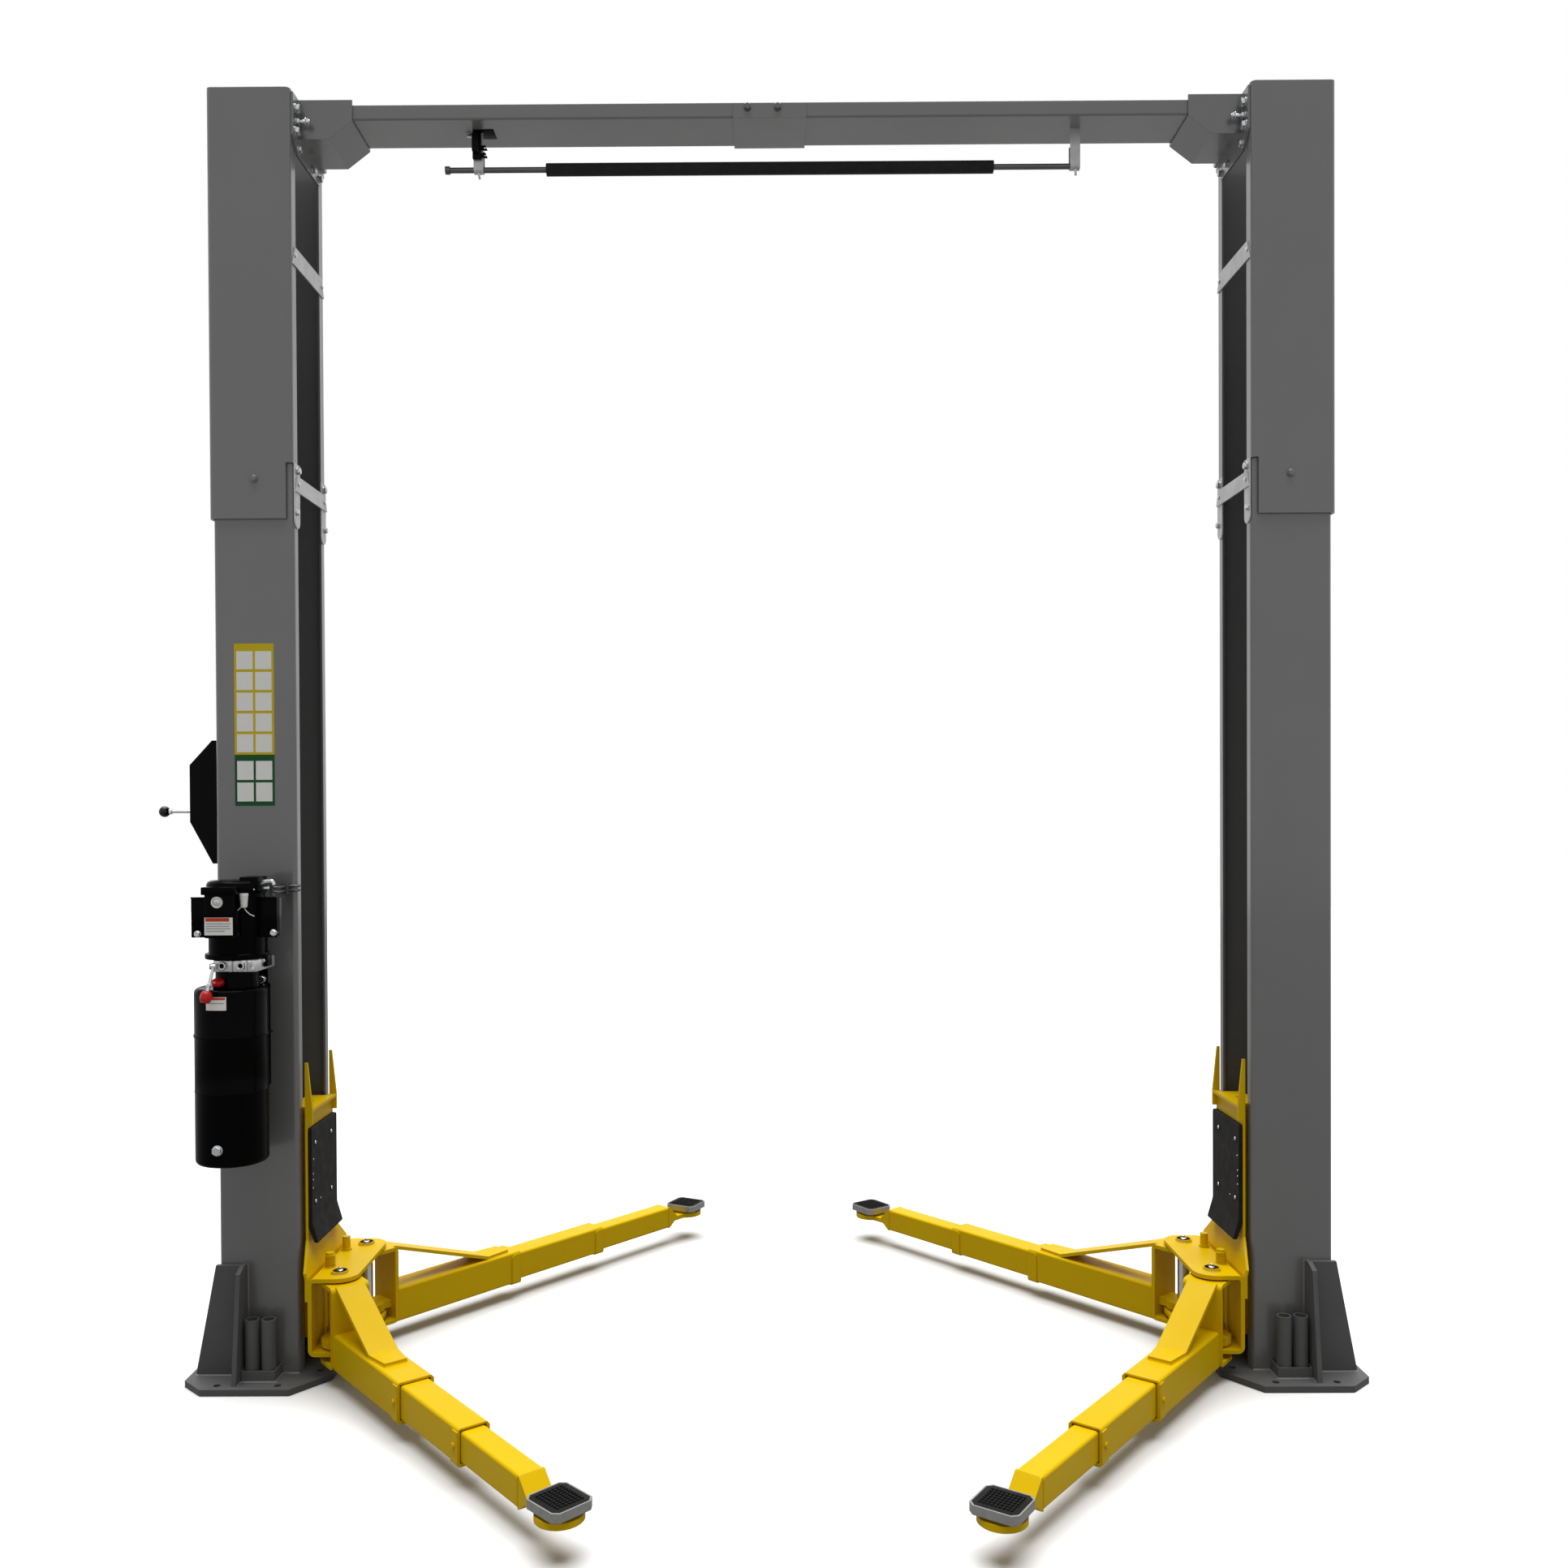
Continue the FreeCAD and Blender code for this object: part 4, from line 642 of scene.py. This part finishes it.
def addCurvedSheet(name, look):      # a sheet that follows the can
    x, y = tank["axis"]
    r = tank["radius"] + look["lift"]
    start, end = [math.asin((edge - x) / r) for edge in look["x"]]
    points = []
    for i in range(9):
        angle = start + (end - start) * i / 8
        points += [(x + r * math.sin(angle), y - r * math.cos(angle), height) for height in look["z"]]
    mesh = bpy.data.meshes.new(name)
    mesh.from_pydata(points, [], [(2 * i, 2 * i + 2, 2 * i + 3, 2 * i + 1) for i in range(8)])
    sheet = bpy.data.objects.new(name, mesh)
    bpy.context.scene.collection.objects.link(sheet)
    wall = sheet.modifiers.new("wall", "SOLIDIFY")
    wall.thickness, wall.offset = sheetWall, -1
    onlySelect(sheet)
    bpy.ops.object.modifier_apply(modifier="wall")
    dress(sheet, name, "root", look["finish"])


for name, look in labels.items():
    addCurvedSheet(name, look)


# power unit: motor, switch box, cable gland and breather elbow

motor = dict(axis=(-1.558, -0.280), flange=0.088, can=0.078, cap=0.083, low=1.283, foot=1.299, high=1.475,
             top=1.508, screws=((-1.6625, 1.354), (-1.4435, 1.357)), screwFaces=((-0.3045, -1), (-0.2955, 1)),
             pips=((-1.509, -0.352, 1.433), (-1.489, -0.331, 1.483), (-1.527, -0.331, 1.500)))
motorBoxes = [      # lowest corner, highest corner, width of the rounded edges
    ((-1.682, -0.3045, 1.343), (-1.618, -0.2955, 1.460), 0.002),      # the two side plates and their folds
    ((-1.498, -0.3045, 1.343), (-1.434, -0.2955, 1.460), 0.002),
    ((-1.682, -0.300, 1.346), (-1.674, -0.262, 1.457), 0.0015),
    ((-1.442, -0.300, 1.346), (-1.434, -0.262, 1.457), 0.0015),
    ((-1.498, -0.3075, 1.348), (-1.490, -0.2955, 1.457), 0.001),
    ((-1.682, -0.308, 1.456), (-1.618, -0.2955, 1.460), 0.001),
    ((-1.498, -0.308, 1.456), (-1.434, -0.2955, 1.460), 0.001),
    ((-1.611, -0.386, 1.348), (-1.528, -0.325, 1.473), 0.003),      # switch box and its lid
    ((-1.618, -0.393, 1.471), (-1.521, -0.325, 1.493), 0.0025),
    ((-1.533, -0.330, 1.478), (-1.479, -0.250, 1.519), 0.004),      # raised cover
    ((-1.540, -0.380, 1.352), (-1.519, -0.330, 1.425), 0.005),      # rounded side of the switch box
]


def addMotor():
    m = motor
    profile = [(0, m["low"]), (m["flange"] - 0.002, m["low"]), (m["flange"], m["low"] + 0.002),
               (m["flange"], m["foot"] - 0.002), (m["flange"] - 0.002, m["foot"]), (m["can"], m["foot"]),
               (m["can"], m["high"] - 0.004), (m["cap"] - 0.002, m["high"] - 0.004), (m["cap"], m["high"]),
               (m["cap"], m["top"] - 0.012), (m["cap"] - 0.004, m["top"] - 0.004),
               (m["cap"] - 0.012, m["top"]), (0, m["top"])]
    can = moved(addTurned(profile, steps=96), Matrix.Translation((*m["axis"], 0)))
    dress(join([can] + [addBlock(*corners) for corners in motorBoxes]), "motorHousing", "root", "blackEnamel")
    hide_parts("motor")
    spots = [((x, y, z), (0, way, 0)) for y, way in m["screwFaces"] for x, z in m["screws"]]
    screws = copyTo(models["m10"], spots)
    pips = copyTo(models["pip"], [(spot, (0, -1, 0)) for spot in m["pips"]])
    dress(join([screws, pips]), "motorBolts", "root", "zincPlate")


addMotor()

button = dict(place=(-1.574, -0.386, 1.450), ring=0.0165, rise=0.006,
              stud=[(0, 0), (0.0103, 0), (0.0103, 0.0035), (0.0090, 0.0045), (0.0030, 0.0045),
                    (0.0022, 0.0055), (0, 0.0055)])


def addButton():      # a bright ring round a grey push button
    ring = addTurned([(0.0105, 0), (button["ring"], 0), (button["ring"], 0.003), (0.0145, button["rise"]),
                      (0.0118, button["rise"]), (0.0105, 0.002), (0.0105, 0)], steps=48)
    stud = addTurned(button["stud"], steps=36)
    seat = facing(button["place"], (0, -1, 0))
    dress(moved(ring, seat), "switchRing", "root", "whiteVinyl")
    dress(moved(stud, seat), "switchButton", "root", "castAluminium")


addButton()

motorSheets = {      # blank: lowest and highest corner
    "motorLabel": ((-1.6100, -0.3866, 1.357), (-1.5300, -0.3860, 1.407), "whiteVinyl"),
    "motorLabelStrip": ((-1.6070, -0.3870, 1.396), (-1.5400, -0.3862, 1.406), "orangeVinyl"),
}
for name, (low, high, finish) in motorSheets.items():
    dress(addBlock(low, high), name, "root", finish)
motorRules = dict(x=(-1.6050, -1.5360), y=(-0.3870, -0.3862), height=0.0022,      # rows: foot, cut short
                  rows=((1.3885, 0.0), (1.3815, 0.003), (1.3745, 0.0), (1.3675, 0.016)))
rules = [addBlock((motorRules["x"][0], motorRules["y"][0], z),
                  (motorRules["x"][1] - cut, motorRules["y"][1], z + motorRules["height"]))
         for z, cut in motorRules["rows"]]
dress(join(rules), "motorLabelRules", "root", "greyInk")

gland = dict(axis=(-1.5105, -0.352), ribs=7, ribbed=0.030, low=1.433, high=1.473, nut=0.0120, wire=0.0013,
             wires=([(-1.5165, -0.350, 1.436), (-1.5245, -0.354, 1.428), (-1.5275, -0.360, 1.420),
                     (-1.5255, -0.346, 1.408)],
                    [(-1.5085, -0.350, 1.436), (-1.5065, -0.353, 1.427), (-1.4955, -0.352, 1.415),
                     (-1.4865, -0.338, 1.407)]))


def addGland():      # a ribbed white cable gland with two thin wires, beside the switch box
    step = gland["ribbed"] / gland["ribs"]
    profile = [(0, gland["low"]), (0.0070, gland["low"])]
    for i in range(gland["ribs"]):
        foot = gland["low"] + 0.002 + i * step
        groove, rib = 0.0085 + 0.0003 * i, 0.0098 + 0.0003 * i
        profile += [(groove, foot), (rib, foot + step * 0.3), (rib, foot + step * 0.6), (groove, foot + step)]
    profile += [(gland["nut"], gland["high"] - 0.008), (gland["nut"], gland["high"]), (0, gland["high"])]
    body = moved(addTurned(profile, steps=40), Matrix.Translation((*gland["axis"], 0)))
    dress(body, "cableGland", "root", "whiteVinyl")
    wires = [addWire(smoothRun(points), gland["wire"]) for points in gland["wires"]]
    dress(join(wires), "cableWires", "root", "whiteVinyl")


addGland()

elbow = dict(points=[(-1.484, -0.300, 1.499), (-1.472, -0.300, 1.503), (-1.455, -0.300, 1.506),
                     (-1.447, -0.300, 1.502), (-1.444, -0.300, 1.494)],
             radius=0.0065, nut=((-1.479, -0.300, 1.4855), (-1.457, -0.300, 1.4865), 0.0052))


def addElbow():      # the bright breather elbow over the raised cover, with its nut
    nut = addBar(*elbow["nut"], edge=0.001, sides=6)
    tube = addWire(smoothRun(elbow["points"]), elbow["radius"])
    dress(join([tube, nut]), "breatherElbow", "root", "zincPlate")


addElbow()


# power unit: valve block, wall bracket and lowering lever

valve = dict(x=(-1.600, -1.475), y=(-0.355, -0.205), z=(1.249, 1.283), ports=(-1.572, -1.519), port=1.267,
             ribs=(-1.5455, -1.5030), hookRadius=0.0026,
             hook=[(-1.503, -0.360, 1.280), (-1.494, -0.363, 1.279), (-1.490, -0.362, 1.271),
                   (-1.494, -0.359, 1.263)],
             neck=[(0, 1.197), (0.062, 1.197), (0.062, 1.212), (0.060, 1.218), (0.060, 1.250), (0, 1.250)],
             bolts=[(-1.622, 1.205), (-1.622, 1.333), (-1.530, 1.205), (-1.530, 1.333)])
boss = [(0.0062, 0.0), (0.0125, 0.0), (0.0125, 0.0075), (0.0115, 0.0090), (0.0078, 0.0090), (0.0062, 0.0070),
        (0.0062, 0.0)]
wallBracket = [      # stay, wall plate and lug: lowest corner, highest corner, width of the rounded edges
    ((-1.636, -0.280, 1.257), (-1.516, -0.149, 1.265), 0.001),
    ((-1.636, -0.157, 1.189), (-1.516, -0.149, 1.349), 0.002),
    ((-1.520, -0.300, 1.258), (-1.464, -0.260, 1.292), 0.003),
]
clevis = dict(middle=0.00825, wall=0.0025, half=0.008, pin=0.0035, pinHalf=0.0105)
pivot = Vector(joints["valve_lever_turn"]["pos_m"])


def addValveBlock():      # cast block with its ports, ribs and the clevis that carries the lever
    (x0, x1), (y0, y1), (z0, z1) = valve["x"], valve["y"], valve["z"]
    body = addBlock((x0, y0, z0), (x1, y1, z1), 0.004)
    bosses = [moved(addTurned(boss, steps=36), facing((x, y0, valve["port"]), (0, -1, 0)))
              for x in valve["ports"]]
    ribs = [addBlock((x - 0.0022, y0 - 0.007, z0 + 0.001), (x + 0.0022, y0 + 0.002, z1 - 0.001), 0.001)
            for x in valve["ribs"]]
    hook = addWire(smoothRun(valve["hook"]), valve["hookRadius"])
    cheeks = []
    for way in (-1, 1):
        x = pivot.x + way * clevis["middle"]
        cheeks.append(addBlock((x - clevis["wall"] / 2, pivot.y - clevis["half"], pivot.z - clevis["half"]),
                               (x + clevis["wall"] / 2, y0 + 0.001, pivot.z + clevis["half"]), 0.0008))
    half = Vector((clevis["pinHalf"], 0, 0))
    pin = addBar(pivot - half, pivot + half, clevis["pin"], edge=0.0006, sides=20)
    dress(join([body] + bosses + ribs + cheeks + [hook, pin]), "valveBlock", "root", "castAluminium")
    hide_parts("pump_block")
    wells = [addBar((x, y0 - 0.0015, valve["port"]), (x, y0 - 0.0060, valve["port"]), 0.0061, sides=24)
             for x in valve["ports"]]
    neck = moved(addTurned(valve["neck"], steps=64), Matrix.Translation((*motor["axis"], 0)))
    bracket = [addBlock(*corners) for corners in wallBracket]
    dress(join(wells + [neck] + bracket), "pumpNeck", "root", "blackEnamel")
    spots = [((x, wallBracket[1][0][1], z), (0, -1, 0)) for x, z in valve["bolts"]]
    dress(copyTo(models["m12"], spots), "pumpBracketBolts", "root", "zincPlate")
    spots = [((-1.475, -0.300, 1.276), (0, -1, 0)), ((-1.485, y0, 1.258), (0, -1, 0))]
    dress(copyTo(models["button"], spots), "valveBolts", "root", "zincPlate")


addValveBlock()

lever = dict(knob=Vector((-1.601, -0.402, 1.184)), rod=0.0048, bore=0.0038, hub=0.007, hubHalf=0.0063,
             barrel=0.0165)


def addLever():      # zinc lever with a shoulder, and a red barrel knob
    along = lever["knob"] - pivot
    hub = addTurned(ringProfile(lever["bore"], lever["hub"], -lever["hubHalf"], lever["hubHalf"]), steps=32)
    moved(hub, facing(pivot, (1, 0, 0)))
    stem = addBar(pivot + along * 0.055, lever["knob"], lever["rod"], sides=24)
    collar = addBar(pivot.lerp(lever["knob"], 0.56), pivot.lerp(lever["knob"], 0.68), lever["rod"] + 0.003,
                    edge=0.001, sides=6)
    dress(join([hub, stem, collar]), "valveLever", "valve_lever", "zincPlate")
    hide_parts("valve_lever")
    b = lever["barrel"]
    knob = addTurned([(0, -b), (b * 0.58, -b), (b * 0.80, -b * 0.86), (b * 0.97, -b * 0.4), (b * 1.03, 0),
                      (b * 0.97, b * 0.4), (b * 0.80, b * 0.86), (b * 0.58, b), (0, b)], steps=48)
    dress(moved(knob, facing(lever["knob"], along)), "valveLeverKnob", "valve_lever", "redPlastic", smooth=60)


addLever()
print("power unit built")


# lock cover's screws and the release lever

release = dict(pivot=Vector(joints["release_lever_turn"]["pos_m"]), ball=Vector((-1.886, 0, 1.708)),
               rod=0.005, size=0.017, flat=0.001, bore=0.0053, hub=0.011, hubHalf=0.015)
coverScrews = dict(x=-1.684, y=0.055, z=(1.62, 1.86))


def ballProfile(radius, flat):      # a turned ball with a flat where its rod goes in
    angles = [math.radians(-90 + 10 * i) for i in range(19)]
    return [(radius * math.cos(a), max(radius * math.sin(a), flat - radius)) for a in angles]


def addRelease():
    place, end = release["pivot"], release["ball"]
    half = release["hubHalf"]
    hub = addTurned(ringProfile(release["bore"], release["hub"], -half, half), steps=32)
    moved(hub, facing(place, (0, -1, 0)))
    stem = addBar(place - Vector((0.0075, 0, 0)), end + Vector((0.004, 0, 0)), release["rod"], sides=24)
    nut = addBar(end + Vector((0.024, 0, 0)), end + Vector((0.0155, 0, 0)), 0.0085, sides=6)
    dress(join([hub, stem, nut]), "releaseLever", "release_lever", "zincPlate")
    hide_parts("release_lever")
    ball = addTurned(ballProfile(release["size"], release["flat"]), steps=48)
    moved(ball, facing(end, (-1, 0, 0)))
    dress(ball, "releaseLeverBall", "release_lever", "blackPhenolic")
    spots = [((coverScrews["x"], coverScrews["y"] * s, z), (0, s, 0))
             for s in (-1, 1) for z in coverScrews["z"]]
    dress(copyTo(models["rivet"], spots), "coverScrews", "root", "blackPaint")


addRelease()


# instruction panel, left blank

panel = dict(x=(-1.610, -1.491), z=(1.724, 2.209), split=1.877, y=columnFront, margin=0.007)


def addPanel():      # a two colour sheet with empty white fields in two rows
    y, (x0, x1), (z0, z1), margin = panel["y"], panel["x"], panel["z"], panel["margin"]
    dress(addBlock((x0, y - 0.0005, panel["split"]), (x1, y, z1)), "panelYellow", "root", "yellowVinyl")
    dress(addBlock((x0, y - 0.0005, z0), (x1, y, panel["split"])), "panelGreen", "root", "greenVinyl")
    width = (x1 - x0 - 3 * margin) / 2
    fields = []
    for low, high, rows in ((panel["split"] + 0.004, z1 - 0.018, 5), (z0 + 0.010, panel["split"] - 0.014, 2)):
        height = (high - low) / rows
        for row in range(rows):
            for start in (x0 + margin, x0 + 2 * margin + width):
                foot = low + row * height
                fields.append(addBlock((start, y - 0.0009, foot + 0.003),
                                       (start + width, y - 0.0004, foot + height - 0.005)))
    dress(join(fields), "panelFields", "root", "whiteVinyl")


addPanel()


# shut-off bar's hangers

hangers = dict(left=-0.896, right=0.938, bar=joints["shutoff_bar_tilt"]["pos_m"][2],
               beam=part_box("left_beam")[0].z)


def modelWingNut():      # two raised wings on a small boss, standing on the origin
    boss = addBar((0, 0, 0), (0, 0, 0.008), 0.006, edge=0.001, sides=16)
    wings = [addBlock((turn * 0.010 - 0.006, -0.0016, 0.004), (turn * 0.010 + 0.006, 0.0016, 0.017), 0.001)
             for turn in (-1, 1)]
    return join([boss] + wings)


models["wingNut"] = modelWingNut()


def addHangers():      # dark switch bracket on the left, bent tails under both
    x, z, top = hangers["left"], hangers["bar"], hangers["beam"]
    parts = [addBlock((x - 0.016, -0.024, z + 0.025), (x + 0.010, -0.0155, top), 0.0015),
             addBlock((x - 0.014, -0.046, z + 0.039), (x + 0.004, -0.024, z + 0.094), 0.003),
             addBlock((x - 0.012, -0.030, top - 0.002), (x + 0.050, 0.030, top + 0.0005), 0.001)]
    dress(join(parts), "switchBracket", "root", "blackPaint")
    spots = [((x + 0.010, -0.0195, z + rise), (1, 0, 0)) for rise in (0.036, 0.059)]
    wings = copyTo(models["wingNut"], spots)
    dress(wings, "hangerWingNuts", "root", "blackPaint")
    tails = [addBar((u, -0.012, z - 0.013), (u + 0.003, -0.004, z - 0.030), 0.0035, edge=0.001, sides=16)
             for u in (hangers["left"], hangers["right"])]
    dress(join(tails), "hangerTails", "root", "zincPlate")
    seats = [((x - 0.030, 0.0, top), (0, 0, -1)), ((hangers["right"] + 0.004, 0.02, top), (0, 0, -1))]
    dress(copyTo(models["m10"], seats), "hangerBolts", "root", "zincPlate")


addHangers()
print("overhead parts built")

# the patterns themselves aren't part of the lift
for model in list(models.values()) + [padModel, springModel]:
    bpy.data.objects.remove(model)


# floor, light and camera

studio = dict(floor=40.0, seen=1.0, fill=0.24, sun=4.4, softness=60, lean=5, bounce=0.30)

deselect()
bpy.ops.mesh.primitive_plane_add(size=studio["floor"], location=(0, 0, -0.0006))
floor = settle(bpy.context.object)
floor.name = "paleFloor"
floor.data.materials.append(finishes["paleFloor"])
floor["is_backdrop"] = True


def dimBounce(material, share):      # the floor throws back less light than it shows
    tree = material.node_tree
    output = next(node for node in tree.nodes if node.type == "OUTPUT_MATERIAL")
    bright = output.inputs["Surface"].links[0].from_socket
    dark = addNode(tree, "ShaderNodeBsdfDiffuse", {"Color": (share, share, share, 1)})
    seen = addNode(tree, "ShaderNodeLightPath").outputs["Is Camera Ray"]
    mix = addNode(tree, "ShaderNodeMixShader", {0: seen, 1: dark.outputs["BSDF"], 2: bright})
    tree.links.new(mix.outputs["Shader"], output.inputs["Surface"])


dimBounce(finishes["paleFloor"], studio["bounce"])


def addWorld():      # white all round where it is seen or mirrored, and a low fill light elsewhere
    world = bpy.data.worlds.new("studio")
    bpy.context.scene.world = world
    world.use_nodes = True
    tree = world.node_tree
    tree.nodes.clear()
    seen = addNode(tree, "ShaderNodeBackground", {"Color": (1, 1, 1, 1), "Strength": studio["seen"]})
    fill = addNode(tree, "ShaderNodeBackground", {"Color": (1, 1, 1, 1), "Strength": studio["fill"]})
    diffuse = addNode(tree, "ShaderNodeLightPath").outputs["Is Diffuse Ray"]
    mix = addNode(tree, "ShaderNodeMixShader", {0: diffuse, 1: seen.outputs["Background"],
                                                2: fill.outputs["Background"]})
    addNode(tree, "ShaderNodeOutputWorld", {"Surface": mix.outputs["Shader"]})


addWorld()
sun = bpy.data.lights.new("overhead", "SUN")
sun.energy, sun.angle = studio["sun"], math.radians(studio["softness"])
lamp = bpy.data.objects.new("overhead", sun)
lamp.rotation_euler = (math.radians(-studio["lean"]), 0, 0)
bpy.context.scene.collection.objects.link(lamp)

view = dict(place=(-0.027385, -4.304791, 1.697252), pitch=0.0103, yaw=-0.0037, roll=-0.0049, lens=31.915,
            shift=(0.01598, 0.02714))
forward = Vector((math.sin(view["yaw"]) * math.cos(view["pitch"]),
                  math.cos(view["yaw"]) * math.cos(view["pitch"]), -math.sin(view["pitch"])))
level = Vector((math.cos(view["yaw"]), -math.sin(view["yaw"]), 0))
upward = level.cross(forward)
across = math.cos(view["roll"]) * level + math.sin(view["roll"]) * upward
upward = math.cos(view["roll"]) * upward - math.sin(view["roll"]) * level
camera = bpy.data.objects.new("camera", bpy.data.cameras.new("camera"))
camera.data.lens, camera.data.sensor_width = view["lens"], 36.0
camera.data.shift_x, camera.data.shift_y = view["shift"]
turned = Matrix((across, upward, -forward)).transposed().to_4x4()
camera.matrix_world = Matrix.Translation(view["place"]) @ turned
bpy.context.scene.collection.objects.link(camera)
bpy.context.scene.camera = camera
bpy.context.scene.view_settings.view_transform = "Standard"
print("studio set")

low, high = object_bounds()
